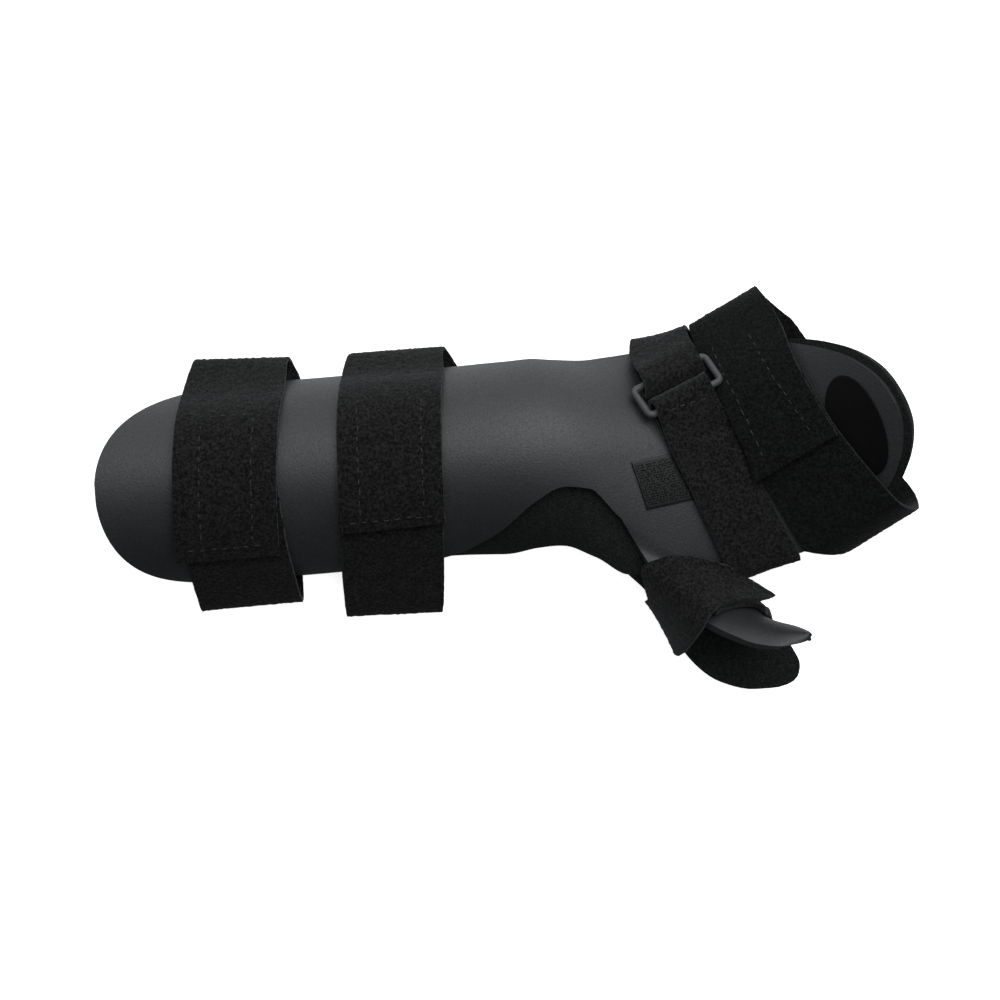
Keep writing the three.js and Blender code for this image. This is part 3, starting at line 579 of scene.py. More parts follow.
# Finishes, by the start of their colours' names: the material's name, the function that fills it and its
# settings, which for a cloth are tuft and relief in millimetres and sheen, and for a plastic roughness
# and specular level
FINISHES = {
    "shell": ("moulded thermoplastic", moulded_thermoplastic),
    # foam faced with a fine knit: neutral and matt, with loops of about 0.7 mm and little contrast, darker in
    # their hollows as painted shade
    "liner": ("knit faced foam", raised_cloth, 0.7, 0.15, 0.12),
    # nylon loop tape, brushed to a felt: matt, near black, speckled by tufts of about 1 mm whose darker
    # hollows are painted shade
    "strap": ("brushed nylon loop", raised_cloth, 1.05, 0.5, 0.26),
    # the finger strap's loop tape: the same felt in darker colours
    "finger": ("brushed nylon loop, dark", raised_cloth, 1.05, 0.5, 0.2),
    # spun polyester thread: paler than the strap, with the twist's small shadows every 0.3 mm
    "thread": ("spun polyester thread", raised_cloth, 0.3, 0.05, 0.05),
    # acetal from a smooth mould: grey, with a soft gloss along each bar
    "ring": ("moulded acetal", moulded_plastic, 0.5, 0.3),
    # nylon extruded and cut to hooks: black, each hook with a small glint
    "hook": ("moulded nylon hooks", moulded_plastic, 0.4, 0.3),
    # satin film: near black and even, with almost no gloss
    "label": ("satin film", moulded_plastic, 0.6, 0.1),
}


def finish(context, name):
    """The material of a finish in the scene's colours."""
    colours = context.scene.splint_colours
    title, fill, *settings = FINISHES[name]
    dark = getattr(colours, name + "_dark")
    light = getattr(colours, name + "_light")
    return material_named(title, fill, dark, light, *settings)


def colour_property(name, hex_colour):
    """A colour that a user may change, with its default from an sRGB hex value."""
    return bpy.props.FloatVectorProperty(name=name, description="Colour of the " + name.lower(), size=4,
                                         subtype="COLOR", min=0, max=1, default=linear(hex_colour))


def length_property(name, description, millimetres):
    """A length that a user may change, with its default in millimetres."""
    return bpy.props.FloatProperty(name=name, description=description, default=millimetres * MM, min=0,
                                   unit="LENGTH", precision=5)


class SplintSizes(bpy.types.PropertyGroup):
    """Sizes of the sheets, the stitching and the hooks."""

    shell_thickness: length_property("Shell thickness", "Thickness of the moulded sheet", SHELL_THICKNESS)
    shell_edge: length_property("Shell edge", "Rounding of the moulded sheet's cut edge", 0.9)
    liner_thickness: length_property("Lining thickness", "Thickness of the padded lining", LINER_THICKNESS)
    liner_edge: length_property("Lining edge", "Rounding of the lining's edge", 1.4)
    strap_thickness: length_property("Strap thickness", "Thickness of the loop straps", STRAP_THICKNESS)
    strap_edge: length_property("Strap edge", "Rounding of the straps' edges", 0.55)
    nap: length_property("Nap", "Unevenness of the straps' brushed face", 0.09)
    stitch_pitch: length_property("Stitch pitch", "Distance from one stitch to the next", 3.9)
    stitch_length: length_property("Stitch length", "Length of one stitch", 2.5)
    thread_radius: length_property("Thread radius", "Radius of the sewing thread", 0.22)
    hook_row: length_property("Hook rows", "Distance between the hook tape's rows", 1.0)
    hook_space: length_property("Hook spacing", "Distance between hooks in a row", 0.95)
    hook_radius: length_property("Hook radius", "Radius of a hook's wire", 0.2)


class SplintColours(bpy.types.PropertyGroup):
    """Colours of the materials, each from its hollows to its tips. For the shell and the cloths the hollows
    colour is painted shade, laid in by the height of the pebbles or the pile.
    """

    # painted shade: the shell's hollows colour is laid into the pebbles' hollows by their height, so it is
    # shade rather than a colour of the plastic
    shell_dark: colour_property("Shell hollows", 0x151718)
    shell_light: colour_property("Shell grain", 0x2b2e2f)
    # painted shade: the hollows colours of the lining, the straps and the finger strap are laid into the
    # pile's hollows by its height
    liner_dark: colour_property("Lining hollows", 0x0c0d0d)
    liner_light: colour_property("Lining tips", 0x222523)
    strap_dark: colour_property("Strap hollows", 0x040404)
    strap_light: colour_property("Strap tips", 0x222222)
    finger_dark: colour_property("Finger strap hollows", 0x030303)
    finger_light: colour_property("Finger strap tips", 0x161717)
    thread_dark: colour_property("Thread shadow", 0x1e1f1f)
    thread_light: colour_property("Thread", 0x464747)
    ring_dark: colour_property("Ring shadow", 0x303233)
    ring_light: colour_property("Ring", 0x46494a)
    hook_dark: colour_property("Hook tape shadow", 0x030404)
    hook_light: colour_property("Hook tape", 0x0b0e10)
    label_dark: colour_property("Label shadow", 0x040404)
    label_light: colour_property("Label", 0x080808)


# Shell and lining

# Rows and columns of the sheets' grids, the first row's share of a rounded end and how rows crowd
# towards the seam's radial corner
END_ROWS = 44
MIDDLE_ROWS = 62
SEAM_ROWS = 24
BEYOND_ROWS = 22
FIRST_ROW = 0.045
ROW_CROWDING = 1.6
SHELL_COLUMNS = 72
TONGUE_ROWS = 60
LINER_COLUMNS = 56
LOBE_ROWS = 46
RUN_TOLERANCE = 1e-6
SHEET_EDGE_SEGMENTS = 3


def sheet_runs(start, end):
    """Rows of a sheet: closer together at the rounded ends and on both sides of the seam's radial corner."""
    ends = np.cos(np.linspace(FIRST_ROW, 1, END_ROWS) * np.pi / 2)
    elbow = start + ELBOW_ROUND_ULNAR * (1 - ends)
    finger = end - FINGER_ROUND * (1 - ends[::-1])
    middle = SEAM_RUNS[0] - (SEAM_RUNS[0] - elbow[-1]) * np.linspace(1, 0, MIDDLE_ROWS)[1:-1] ** ROW_CROWDING
    seam = SEAM_RUNS[0] + (SEAM_RUNS[1] - SEAM_RUNS[0]) * np.linspace(0, 1, SEAM_ROWS) ** ROW_CROWDING
    beyond = np.linspace(SEAM_RUNS[1], finger[0], BEYOND_ROWS)[1:-1]
    return np.concatenate([elbow, middle, seam, beyond, finger])


def sheet_grid(runs, ulnar, radial, lift, columns):
    """Grid over the shell: rows at the runs, columns by (1 − cos)/2 from the radial to the ulnar arc."""
    across = (1 - np.cos(np.linspace(0, np.pi, columns))) / 2
    arcs = radial[:, None] + (ulnar - radial)[:, None] * across
    return on_shell(runs[:, None], arcs, lift)


def leaf_grid(surface, runs, body, rows):
    """Grid over a leaf that starts on the body's radial edge and eases from that seam into its own form."""
    on_seam = (runs >= SEAM_RUNS[0] - RUN_TOLERANCE) & (runs <= SEAM_RUNS[1] + RUN_TOLERANCE)
    share = np.linspace(0, 1, rows)[:, None]
    across = ((runs[on_seam] - SEAM_RUNS[0]) / (SEAM_RUNS[1] - SEAM_RUNS[0]))[None, :]
    drift = body[on_seam, 0] - surface(0.0, across[0])
    return surface(share, across) + drift * (1 - smooth(share / SEAM_BLEND))[..., None]


def sheet_with_leaf(edges, start, end, lift, columns, surface, leaf_rows):
    """Vertices and faces of a sheet between two edges of the stations, with a leaf on its thumb seam."""
    runs = sheet_runs(start, end)
    inside = np.minimum(runs, SHELL_LENGTH)
    finger = rounded_end(end - runs, FINGER_ROUND)
    ulnar = STATION[edges[0]](inside) * rounded_end(runs - start, ELBOW_ROUND_ULNAR) * finger
    radial = -STATION[edges[1]](inside) * rounded_end(runs - start, ELBOW_ROUND_RADIAL) * finger
    body = sheet_grid(runs, ulnar, radial, lift, columns)
    return welded([body, leaf_grid(surface, runs, body, leaf_rows)])


class SPLINT_OT_shell(bpy.types.Operator):
    """Builds the moulded sheet with its thumb tongue and a rounded cut edge"""

    bl_idname = "splint.shell"
    bl_label = "Moulded shell"

    def execute(self, context):
        sizes = context.scene.splint_sizes
        points, faces = sheet_with_leaf(("ulnar_edge", "radial_edge"), 0.0, SHELL_LENGTH, 0.0, SHELL_COLUMNS,
                                        TONGUE, TONGUE_ROWS)
        piece = add_piece("moulded_shell", points, faces, finish(context, "shell"))
        thicken(piece, sizes.shell_thickness, -1, sizes.shell_edge, SHEET_EDGE_SEGMENTS)
        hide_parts("shell")
        return {"FINISHED"}


class SPLINT_OT_liner(bpy.types.Operator):
    """Builds the padded lining inside the shell with its flat thumb lobe"""

    bl_idname = "splint.liner"
    bl_label = "Padded lining"

    def execute(self, context):
        sizes = context.scene.splint_sizes
        points, faces = sheet_with_leaf(("liner_ulnar", "liner_radial"), LINER_INSET, LINER_LENGTH,
                                        LINER_OUTER, LINER_COLUMNS, LOBE, LOBE_ROWS)
        piece = add_piece("padded_lining", points, faces, finish(context, "liner"))
        thicken(piece, sizes.liner_thickness, -1, sizes.liner_edge, SHEET_EDGE_SEGMENTS)
        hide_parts("liner")
        return {"FINISHED"}


# Straps

# Spacing of the straps' grids in millimetres, and points of the lines that they are drawn from
STRAP_STEP = 0.9
FINE_POINTS = 40
HANG_POINTS = 60
LAP_POINTS = (120, 90)
RING_POINTS = (160, 200)
THUMB_POINTS = 240


def lengths_along(line):
    """Distance of each point of a line from its start."""
    steps = np.linalg.norm(np.diff(line, axis=0), axis=1)
    return np.concatenate([[0], np.cumsum(steps)])


def at_lengths(line, length, wanted):
    """Points of a line at wanted lengths, straight between its own."""
    return np.stack([np.interp(wanted, length, axis) for axis in line.T], -1)


def line_through(corners, count):
    """Evenly spaced smooth line through corners: each axis is a cubic over the steps' square roots."""
    corners = np.asarray(corners, float)
    steps = np.sqrt(np.linalg.norm(np.diff(corners, axis=0), axis=1))
    knots = np.concatenate([[0], np.cumsum(steps)])
    fine = np.linspace(0, knots[-1], FINE_POINTS * len(corners))
    line = np.stack([curve_through(knots, axis)(fine) for axis in corners.T], -1)
    length = lengths_along(line)
    return at_lengths(line, length, np.linspace(0, length[-1], count))


def bezier(start, first, second, end, count):
    """Cubic Bezier from start to end with two handles."""
    t = np.linspace(0, 1, count)[:, None]
    return (1 - t) ** 3 * start + 3 * t * (1 - t) ** 2 * first + 3 * t * t * (1 - t) * second + t ** 3 * end


def at_edge(side, name, edge):
    """Value of a strap's side at its near (0) or far (1) edge."""
    value = side.get(name, 0)
    return value[edge] if isinstance(value, tuple) else value


def on_edge(spec, edge, layer, arc, lift):
    """Points of a strap's edge at arcs and lifts, with its layer's shift growing along the arc."""
    arc = np.asarray(arc, float)
    shift = np.where(arc >= 0, at_edge(spec[layer], "ulnar", edge), at_edge(spec[layer], "radial", edge))
    run = spec.get(layer + "_runs", spec["runs"])[edge]
    return on_shell(run + shift * np.abs(arc) / SHIFT_ARC, arc, lift)


def hang(spec, edge, name, sign, start, direction):
    """Side of a strap from the shell to the floor: a Bezier curve that leaves along a direction.

    The floor point lies aside from the spine and leans along the heading; the handle there points
    outwards, with less of the lean by the sweep, and the handle at the shell turns by the veer.
    """
    side = spec[name]
    _, crest, heading, aside, _ = section(spec["runs"][edge])
    floor = crest + aside * sign * at_edge(side, "floor", edge) + heading * at_edge(side, "lean", edge)
    floor[2] = STRAP_THICKNESS / 2
    outward = aside * sign * at_edge(side, "tuck", edge) - heading * at_edge(side, "sweep", edge)
    leaving = direction * at_edge(side, "reach", edge) + heading * at_edge(side, "veer", edge)
    return bezier(start, start + leaving, floor + outward, floor, HANG_POINTS)


def strap_edge(spec, edge, over_path, under_path):
    """One edge of a strap: over the shell, down the ulnar side, along the floor, up and under again.

    The two paths are (arc, lift) lines on the shell.
    """
    over = on_edge(spec, edge, "over", over_path[:, 0], over_path[:, 1])
    under = on_edge(spec, edge, "under", under_path[:, 0], under_path[:, 1])
    down = hang(spec, edge, "ulnar", 1, over[-1], unit(over[-1] - over[-2]))
    rise = hang(spec, edge, "radial", -1, under[0], unit(under[0] - under[1]))[::-1]
    return np.concatenate([over, down[1:], rise, under[1:]])


def strap_grid(near, far):
    """Grid ruled between two edge lines: rows along the strap, columns from the near to the far edge.

    Both edges are spaced evenly by the middle line's length.
    """
    length = lengths_along((near + far) / 2)
    even = np.linspace(0, length[-1], int(length[-1] / STRAP_STEP))
    low, high = (at_lengths(line, length, even)[:, None] for line in (near, far))
    columns = int(np.linalg.norm(far - near, axis=1).mean() / STRAP_STEP)
    across = np.linspace(0, 1, columns)[None, :, None]
    return low * (1 - across) + high * across


def lapped_strap_grid(spec):
    """Strap that goes once round and laps over its own inner end on the shell."""
    edges = []
    for edge in (0, 1):
        low = at_edge(spec, "lift", edge) + STRAP_THICKNESS / 2
        high = low + STRAP_THICKNESS + PIECE_GAP
        inner = spec["inner_end"] + spec["skew"] * edge
        outer = spec["outer_end"] + spec["skew"] * edge
        ulnar = max(at_edge(spec["ulnar"], "leave", edge), inner + LAP_RAMP)
        radial = at_edge(spec["radial"], "leave", edge)
        middle = (outer + inner) / 2
        over = line_through([(outer, high), (middle, high), (inner + LAP_CLEAR, high), (ulnar, low)],
                            LAP_POINTS[0])
        under = line_through([(-radial, low), ((inner - radial) / 2, low), (inner, low)], LAP_POINTS[1])
        edges.append(strap_edge(spec, edge, over, under))
    return strap_grid(*edges)


def grid_normals(grid):
    """Unit normals of a strap's grid, away from the shell where it laps: columns crossed with rows."""
    return unit(np.cross(np.gradient(grid, axis=1), np.gradient(grid, axis=0)))


def on_grid(grid, row, column):
    """Values between a grid's own, at fractional rows and columns (bilinear)."""
    i = np.clip(np.floor(row).astype(int), 0, grid.shape[0] - 2)
    j = np.clip(np.floor(column).astype(int), 0, grid.shape[1] - 2)
    s = (row - i)[..., None]
    t = (column - j)[..., None]
    start = grid[i, j] * (1 - t) + grid[i, j + 1] * t
    end = grid[i + 1, j] * (1 - t) + grid[i + 1, j + 1] * t
    return start * (1 - s) + end * s


def strap_size(grid):
    """Width and length of a strap's grid, measured on its middle line and its rows."""
    length = lengths_along(grid[:, grid.shape[1] // 2])[-1]
    width = np.linalg.norm(grid[:, -1] - grid[:, 0], axis=1).mean()
    return width, length


# How far stitches stray, vary in length, rise over the cloth and dip at their ends, and how the thread
# tapers there
STITCH_JITTER = 0.14
STITCH_SPREAD = (0.8, 1.1)
STITCH_RINGS = 7
STITCH_RISE = 0.1
STITCH_DIP = 0.5
THREAD_SIDES = 6
THREAD_TAPER = 0.45


def stitch_spots(grid, rows, pitch, random):
    """Middles of the stitches of all rows as fractional grid places, and their directions on the grid."""
    width, length = strap_size(grid)
    per_mm = np.array([(grid.shape[0] - 1) / length, (grid.shape[1] - 1) / width])
    spots = []
    ways = []
    for start, end in rows:
        start, end = (np.array([along + length * (along < 0), across]) for along, across in (start, end))
        count = int(np.linalg.norm(end - start) / pitch)
        middles = start + (end - start) * ((np.arange(count) + 0.5) / count)[:, None]
        spots.append(middles + random.normal(0, STITCH_JITTER, middles.shape))
        ways.append(np.repeat(unit(end - start)[None], count, axis=0))
    return np.concatenate(spots) * per_mm, np.concatenate(ways) * per_mm


def add_stitches(context, name, grid, rows):
    """Short thread stitches: each is a thin wire, arched so that both its ends dip into the strap."""
    sizes = context.scene.splint_sizes
    random = np.random.default_rng(len(name))
    spots, ways = stitch_spots(grid, rows, sizes.stitch_pitch / MM, random)
    rings = np.linspace(-1, 1, STITCH_RINGS)
    half = sizes.stitch_length / MM / 2 * random.uniform(*STITCH_SPREAD, len(spots))
    along = rings[None, :] * half[:, None]
    middle = on_grid(grid, spots[:, :1] + ways[:, :1] * along, spots[:, 1:] + ways[:, 1:] * along)
    normal = unit(on_grid(grid_normals(grid), spots[:, :1] + 0 * along, spots[:, 1:] + 0 * along))
    side = np.cross(unit(np.gradient(middle, axis=1)), normal)
    rise = STRAP_THICKNESS / 2 + STITCH_RISE - STITCH_DIP * rings[None, :, None] ** 4
    thick = sizes.thread_radius / MM * (1 - THREAD_TAPER * rings ** 6)
    points, faces = wires(middle + normal * rise, side, normal, thick, THREAD_SIDES)
    return add_piece(name, points, faces, finish(context, "thread"))


def build_strap(context, name, grid, tape="strap"):
    """Strap of loop cloth from its grid, with its stitching; its flat size is measured."""
    sizes = context.scene.splint_sizes
    random = np.random.default_rng(len(name))
    nap = random.normal(0, sizes.nap / MM, grid.shape[:2])
    surface = grid + grid_normals(grid) * nap[..., None]
    faces = grid_faces(*grid.shape[:2])[:, ::-1]
    piece = add_piece(name + "_cloth", surface.reshape(-1, 3), faces, finish(context, tape))
    thicken(piece, sizes.strap_thickness, 0, sizes.strap_edge)
    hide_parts(name)
    if name in STITCHING:
        add_stitches(context, name + "_stitching", grid, STITCHING[name])
    width, length = strap_size(grid)


class SPLINT_OT_forearm_straps(bpy.types.Operator):
    """Builds the two wide straps round the forearm, each lapped over its own inner end"""

    bl_idname = "splint.forearm_straps"
    bl_label = "Forearm straps"

    def execute(self, context):
        build_strap(context, "forearm_strap_proximal", lapped_strap_grid(FOREARM_STRAP_PROXIMAL))
        build_strap(context, "forearm_strap_distal", lapped_strap_grid(FOREARM_STRAP_DISTAL))
        return {"FINISHED"}


class SPLINT_OT_finger_strap(bpy.types.Operator):
    """Builds the strap round the fingers, lapped over its own inner end"""

    bl_idname = "splint.finger_strap"
    bl_label = "Finger strap"

    def execute(self, context):
        build_strap(context, "finger_strap", lapped_strap_grid(FINGER_STRAP), "finger")
        return {"FINISHED"}


def fold_path(bar, lift, sign, run):
    """Half circle round a ring's bar from above to below, and a straight return beneath."""
    angle = np.radians(np.linspace(90, -90, FOLD_STEPS))
    turn = np.stack([bar + sign * FOLD_RADIUS * np.cos(angle), lift + FOLD_RADIUS * np.sin(angle)], -1)
    below = lift - FOLD_RADIUS
    return [*turn, (bar - sign * run * 0.5, below), (bar - sign * run, below)]


def palm_strap_grid(spec):
    """Strap whose two ends go over a bar of the ring and fold back beneath themselves."""
    edges = []
    for edge in (0, 1):
        low = at_edge(spec, "lift", edge) + STRAP_THICKNESS / 2
        lift = RING_LIFTS[edge]
        clear = lift - FOLD_RADIUS + STRAP_THICKNESS + PIECE_GAP
        lower = spec["lower_bar"] + spec["skew"] * edge + FOLD_SLACK
        upper = lower + RING_SPACING - 2 * FOLD_SLACK
        back = spec["fold_return"]
        leave = spec["radial"]["leave"]
        start = lower - back
        under = line_through([
            (-leave, low),
            ((start - CLIMB["middle"] - leave) / 2, low),
            (start - CLIMB["flat"], low),
            (start - CLIMB["foot"], low),
            (start + CLIMB["over"], clear + CLIMB["over_rise"]),
            (lower - CLIMB["crest"], clear + CLIMB["crest_rise"]),
            *fold_path(lower, lift, 1, back),
        ], RING_POINTS[1])
        end = upper + back
        over = line_through([
            *fold_path(upper, lift, -1, back - 1)[::-1],
            (upper + DESCENT["crest"], lift + FOLD_RADIUS - DESCENT["crest_drop"]),
            (end + DESCENT["past"], clear + DESCENT["past_rise"]),
            (end + DESCENT["foot"], clear + DESCENT["foot_rise"]),
        ], RING_POINTS[0])
        edges.append(strap_edge(spec, edge, over, under))
    return strap_grid(*edges)


class SPLINT_OT_palm_strap(bpy.types.Operator):
    """Builds the strap round the palm, both ends folded over the ring"""

    bl_idname = "splint.palm_strap"
    bl_label = "Palm strap"

    def execute(self, context):
        build_strap(context, "palm_strap", palm_strap_grid(PALM_STRAP))
        return {"FINISHED"}


# Points round each corner of the ring, and round its bar
RING_CORNER_STEPS = 12
RING_SIDES = 18


def ring_bars(edge):
    """Where the strap's edge meets the ring's lower and upper bar."""
    lower = PALM_STRAP["lower_bar"] + PALM_STRAP["skew"] * edge
    return np.stack([on_edge(PALM_STRAP, edge, "under", lower, RING_LIFTS[edge]),
                     on_edge(PALM_STRAP, edge, "over", lower + RING_SPACING, RING_LIFTS[edge])])


class SPLINT_OT_ring(bpy.types.Operator):
    """Builds the ring: a circle carried round a path of four straights and four quarter turns"""

    bl_idname = "splint.ring"
    bl_label = "Strap ring"

    def execute(self, context):
        near, far = (ring_bars(edge) for edge in (0, 1))
        centre = (near + far).sum(axis=0) / 4
        along = unit((far - near).sum(axis=0))
        rough = (near[1] + far[1] - near[0] - far[0]) / 2
        normal = unit(np.cross(along, rough))
        across = np.cross(normal, along)
        half = np.array([RING_WIDTH, np.linalg.norm(rough)]) / 2 - RING_CORNER
        quarters = [np.linspace(start, start + 90, RING_CORNER_STEPS) for start in (0, 90, 180, 270)]
        angle = np.radians(np.concatenate(quarters))
        signs = np.repeat([(1, 1), (-1, 1), (-1, -1), (1, -1)], RING_CORNER_STEPS, axis=0)
        flat = signs * half + RING_CORNER * np.stack([np.cos(angle), np.sin(angle)], -1)
        path = centre + flat[:, :1] * along + flat[:, 1:] * across
        outward = np.cos(angle)[:, None] * along + np.sin(angle)[:, None] * across
        turn = np.linspace(0, 2 * np.pi, RING_SIDES, endpoint=False)
        ring = outward[:, None] * np.cos(turn)[:, None] + normal * np.sin(turn)[:, None]
        points = path[:, None] + RING_BAR_RADIUS * ring
        faces = grid_faces(len(path), len(turn), closed_rows=True, closed_columns=True)
        acetal = finish(context, "ring")
        piece = add_piece("moulded_ring", points.reshape(-1, 3), faces, acetal)
        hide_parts("strap_ring")
        return {"FINISHED"}


def thumb_edge(edge):
    """One edge of the thumb strap: over the tongue, round its radial edge, past the lobe, along the floor,
    up through the web and over the tongue again under itself."""
    low = PIECE_GAP + STRAP_THICKNESS / 2 + THUMB_EASE
    high = low + STRAP_THICKNESS + PIECE_GAP
    floor = STRAP_THICKNESS / 2
    over = THUMB_OVER[edge]
    under = THUMB_UNDER[edge]
    radial = THUMB_RADIAL_LOBE[edge]
    web = THUMB_WEB_LOBE[edge]

    def on_floor(share, across, lift=0.0):
        """Point over the floor at a place of the lobe."""
        point = LOBE(share, across)
        return np.array([point[0], point[1], floor + lift])

    corners = [
        *TONGUE(over[:, 0], over[:, 1], high + over[:, 2]),
        TONGUE(THUMB_RADIAL_EDGE[edge], -THUMB_EDGE_GAP[edge], -THUMB_SIDE_DROP),
        LOBE(radial, -THUMB_RADIAL_GAP[edge], THUMB_LOBE_OVER[0]),
        LOBE(radial, -THUMB_RADIAL_GAP[edge] - THUMB_BULGE, -THUMB_LOBE_UNDER),
        on_floor(radial, THUMB_FLOOR_ACROSS[0], THUMB_FLOOR_TURN),
        on_floor(radial, THUMB_FLOOR_ACROSS[1]),
        on_floor((radial + web) / 2, THUMB_FLOOR_ACROSS[2]),
        on_floor(web, THUMB_FLOOR_ACROSS[3]),
        on_floor(web, THUMB_FLOOR_ACROSS[4], THUMB_FLOOR_TURN),
        LOBE(web, 1 + THUMB_WEB_GAP, -THUMB_LOBE_UNDER),
        LOBE(web, 1 + THUMB_WEB_GAP, THUMB_LOBE_OVER[1]),
        TONGUE(under[0, 0], under[0, 1], THUMB_WEB_LIFTS[0]),
        TONGUE(under[1, 0], under[1, 1], low + THUMB_WEB_LIFTS[1]),
        *TONGUE(under[2:, 0], under[2:, 1], low),
    ]
    line = line_through(corners, THUMB_POINTS)
    line[:, 2] = np.maximum(line[:, 2], floor)
    return line


class SPLINT_OT_thumb_strap(bpy.types.Operator):
    """Builds the narrow strap round the thumb tongue and the lining's lobe"""

    bl_idname = "splint.thumb_strap"
    bl_label = "Thumb strap"

    def execute(self, context):
        build_strap(context, "thumb_strap", strap_grid(thumb_edge(0), thumb_edge(1)))
        return {"FINISHED"}


# Hook patch and label

# Grid and bare margins of the tape; place, rise, bend in radians and sideways reach of its hooks, with how
# much they vary; grid of the label
PATCH_GRID = (26, 20)
PATCH_MARGIN = {"near": 1.0, "radial": 1.8, "ulnar": 1.2}
HOOK_SEED = 5
HOOK_JITTER = 0.13
HOOK_SIDES = 4
HOOK_RINGS = 5
HOOK_FOOT = 0.85
HOOK_HEIGHT = 0.75
HOOK_SPREAD = (0.8, 1.1)
HOOK_BEND = 2.4
HOOK_REACH = 0.5
HOOK_REACH_SPREAD = (0.6, 1)
HOOK_CURL = 1.5
LABEL_GRID = 29


def on_patch(run, arc, lift):
    """Points of the hook patch, whose arcs gain the tilt times the run past its near end."""
    return on_shell(run, arc + HOOK_PATCH_TILT * (run - HOOK_PATCH_RUNS[0]), lift)


class SPLINT_OT_hook_patch(bpy.types.Operator):
    """Builds the tape of moulded hooks on the palm: a thin backing with rows of small arched hooks"""

    bl_idname = "splint.hook_patch"
    bl_label = "Hook patch"

    def execute(self, context):
        sizes = context.scene.splint_sizes
        nylon = finish(context, "hook")
        runs = np.linspace(*HOOK_PATCH_RUNS, PATCH_GRID[0])
        arcs = np.linspace(*HOOK_PATCH_ARCS, PATCH_GRID[1])
        grid = on_patch(runs[:, None], arcs[None, :], STUCK_GAP)
        faces = grid_faces(*grid.shape[:2])
        backing = add_piece("hook_tape", grid.reshape(-1, 3), faces, nylon)
        thicken(backing, HOOK_PATCH_THICKNESS * MM, 1, HOOK_PATCH_THICKNESS * MM / 3)
        random = np.random.default_rng(HOOK_SEED)
        run, arc = np.meshgrid(
            np.arange(HOOK_PATCH_RUNS[0] + PATCH_MARGIN["near"], HOOK_PATCH_RUNS[1], sizes.hook_row / MM),
            np.arange(HOOK_PATCH_ARCS[0] + PATCH_MARGIN["radial"], HOOK_PATCH_ARCS[1] - PATCH_MARGIN["ulnar"],
                      sizes.hook_space / MM))
        run = run.reshape(-1) + random.normal(0, HOOK_JITTER, run.size)
        arc = arc.reshape(-1) + random.normal(0, HOOK_JITTER, arc.size)
        rings = np.linspace(0, 1, HOOK_RINGS)
        tall = HOOK_HEIGHT * random.uniform(*HOOK_SPREAD, run.size)[:, None]
        height = HOOK_FOOT + tall * np.sin(rings * HOOK_BEND)
        way = random.choice([-1, 1], run.size) * random.uniform(*HOOK_REACH_SPREAD, run.size)
        reach = way[:, None] * HOOK_REACH * rings ** HOOK_CURL
        centre = on_patch(run[:, None] + reach, arc[:, None] + 0 * rings, height)
        forward = unit(np.gradient(centre, axis=1))
        side = np.broadcast_to(section(run)[3][:, None], forward.shape)
        upper = np.cross(side, forward)
        points, faces = wires(centre, side, upper, sizes.hook_radius / MM, HOOK_SIDES)
        hooks = add_piece("hook_tape_hooks", points, faces, nylon)
        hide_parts("palm_hook_patch")
        return {"FINISHED"}


class SPLINT_OT_label(bpy.types.Operator):
    """Builds the bare oval of film: a square drawn into an ellipse, u·sqrt(1 − v²/2) by v·sqrt(1 − u²/2)"""

    bl_idname = "splint.label"
    bl_label = "Oval label"

    def execute(self, context):
        side = np.linspace(-1, 1, LABEL_GRID)
        u, v = np.meshgrid(side, side, indexing="ij")
        across = LABEL_HALF_AXES[1] * v * np.sqrt(1 - u * u / 2)
        run = LABEL_CENTRE[0] + LABEL_HALF_AXES[0] * u * np.sqrt(1 - v * v / 2) + LABEL_TILT * across
        arc = LABEL_CENTRE[1] + across
        grid = on_shell(run, arc, STUCK_GAP)
        faces = grid_faces(LABEL_GRID, LABEL_GRID)
        film = finish(context, "label")
        piece = add_piece("oval_label", grid.reshape(-1, 3), faces, film)
        thicken(piece, LABEL_THICKNESS * MM, 1, LABEL_EDGE * MM)
        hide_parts("label")
        return {"FINISHED"}


# Stage

FLOOR_REACH = 40.0
FLOOR_GLOW = 0.8
# brightness of the surroundings on the radial and on the ulnar side, and the directions' Y that have it
SKY_DIM = 0.12
SKY_BRIGHT = 1.25
SKY_RANGE = (-0.1, 0.8)
# name, place, side of the square and power of each light that faces the origin, and if it shows in gloss
LIGHTS = (
    ("key", (0.45, 0.8, 1.45), 1.5, 19.5, True),
    ("fill", (0.4, -0.4, 1.8), 1.5, 9.0, False),
)
CAMERA_PLACE = (151.6, -14.2, 1142.0)
CAMERA_TURN = -4.5
CAMERA_SENSOR = 36.0
CAMERA_LENS = 106.128


def pale_paper(tree, place):
    """Studio paper: white, matt and faintly clouded, lit through so that it shows no shadow edge."""
    grain = add_node(tree, "ShaderNodeTexNoise", {"Vector": place, "Scale": 1 / (25 * MM)})
    colour = add_node(tree, "ShaderNodeMix",
                      {0: grain.outputs["Fac"], 6: linear(0xf6f6f6), 7: linear(0xfcfcfc)}, data_type="RGBA")
    return add_node(tree, "ShaderNodeBsdfPrincipled", {
        "Base Color": colour.outputs[2], "Roughness": 0.9, "Emission Color": linear(0xffffff),
        "Emission Strength": FLOOR_GLOW})


def studio_surroundings(tree):
    """White surroundings that brighten from the radial to the ulnar side, like a room with one window."""
    direction = add_node(tree, "ShaderNodeTexCoord").outputs["Generated"]
    axes = add_node(tree, "ShaderNodeSeparateXYZ", {"Vector": direction})
    glow = add_node(tree, "ShaderNodeMapRange", {
        "Value": axes.outputs["Y"], "From Min": SKY_RANGE[0], "From Max": SKY_RANGE[1],
        "To Min": SKY_DIM, "To Max": SKY_BRIGHT})
    sky = add_node(tree, "ShaderNodeBackground", {"Color": linear(0xf4f6f8), "Strength": glow.outputs[0]})
    add_node(tree, "ShaderNodeOutputWorld", {"Surface": sky.outputs[0]})


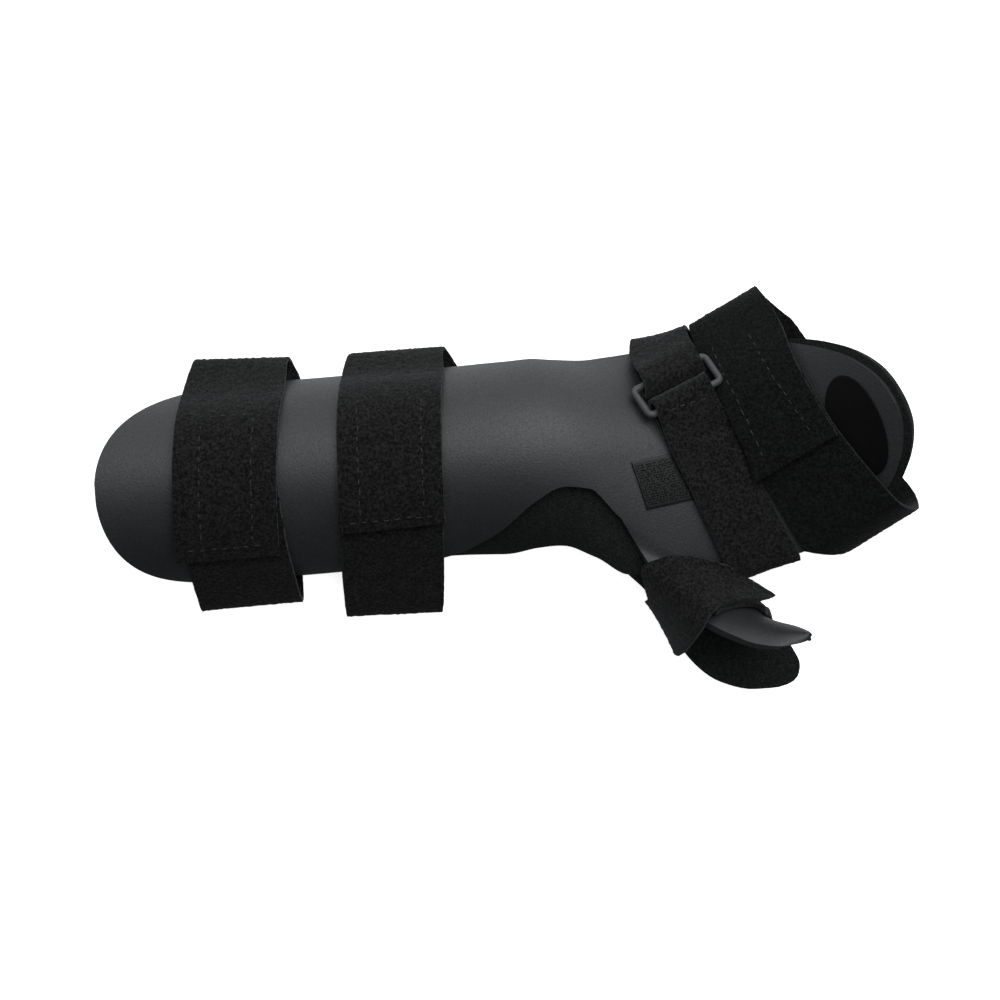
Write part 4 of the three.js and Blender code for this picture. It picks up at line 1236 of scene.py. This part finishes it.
class SPLINT_OT_stage(bpy.types.Operator):
    """Builds the pale floor, the soft lights and the camera straight above the splint"""

    bl_idname = "splint.stage"
    bl_label = "Stage"

    def execute(self, context):
        corners = [(x * FLOOR_REACH, y * FLOOR_REACH, 0) for x, y in ((-1, -1), (1, -1), (1, 1), (-1, 1))]
        mesh = bpy.data.meshes.new("floor")
        mesh.from_pydata(corners, [], [(0, 1, 2, 3)])
        mesh.materials.append(material_named("pale paper", pale_paper))
        floor = bpy.data.objects.new("floor", mesh)
        floor.visible_diffuse = False
        floor.visible_glossy = False
        floor.visible_shadow = False
        context.collection.objects.link(floor)
        world = bpy.data.worlds.new("studio")
        world.use_nodes = True
        world.node_tree.nodes.clear()
        studio_surroundings(world.node_tree)
        context.scene.world = world
        for name, place, size, power, in_gloss in LIGHTS:
            lamp = bpy.data.lights.new(name, "AREA")
            lamp.size = size
            lamp.energy = power
            light = bpy.data.objects.new(name, lamp)
            light.location = place
            light.visible_glossy = in_gloss
            light.rotation_euler = Vector(place).to_track_quat("Z", "Y").to_euler()
            context.collection.objects.link(light)
        lens = bpy.data.cameras.new("camera")
        lens.sensor_width = CAMERA_SENSOR
        lens.lens = CAMERA_LENS
        camera = bpy.data.objects.new("camera", lens)
        camera.location = placed(CAMERA_PLACE)
        camera.rotation_euler = (0, 0, math.radians(CAMERA_TURN))
        context.collection.objects.link(camera)
        context.scene.camera = camera
        context.scene.view_settings.view_transform = "Standard"
        return {"FINISHED"}


# Panel and registration

OPERATORS = (
    SPLINT_OT_shell, SPLINT_OT_liner, SPLINT_OT_forearm_straps, SPLINT_OT_finger_strap, SPLINT_OT_palm_strap,
    SPLINT_OT_ring, SPLINT_OT_thumb_strap, SPLINT_OT_hook_patch, SPLINT_OT_label, SPLINT_OT_stage,
)


class SPLINT_PT_builder(bpy.types.Panel):
    """Lists the splint's pieces in the order of building, then their sizes and colours"""

    bl_idname = "SPLINT_PT_builder"
    bl_label = "Resting hand splint"
    bl_space_type = "VIEW_3D"
    bl_region_type = "UI"
    bl_category = "Splint"

    def draw(self, context):
        for operator in OPERATORS:
            self.layout.operator(operator.bl_idname)
        for group in (context.scene.splint_sizes, context.scene.splint_colours):
            column = self.layout.column()
            for name in type(group).__annotations__:
                column.prop(group, name)


CLASSES = (SplintSizes, SplintColours, *OPERATORS, SPLINT_PT_builder)


def register():
    for kind in CLASSES:
        bpy.utils.register_class(kind)
    bpy.types.Scene.splint_sizes = bpy.props.PointerProperty(type=SplintSizes)
    bpy.types.Scene.splint_colours = bpy.props.PointerProperty(type=SplintColours)


def unregister():
    del bpy.types.Scene.splint_colours
    del bpy.types.Scene.splint_sizes
    for kind in reversed(CLASSES):
        bpy.utils.unregister_class(kind)


def main():
    """Builds every piece and the stage in order."""
    register()
    bpy.ops.splint.shell()
    bpy.ops.splint.liner()
    bpy.ops.splint.forearm_straps()
    bpy.ops.splint.finger_strap()
    bpy.ops.splint.palm_strap()
    bpy.ops.splint.ring()
    bpy.ops.splint.thumb_strap()
    bpy.ops.splint.hook_patch()
    bpy.ops.splint.label()
    bpy.ops.splint.stage()
    bpy.context.view_layer.update()


if __name__ == "__main__":
    main()
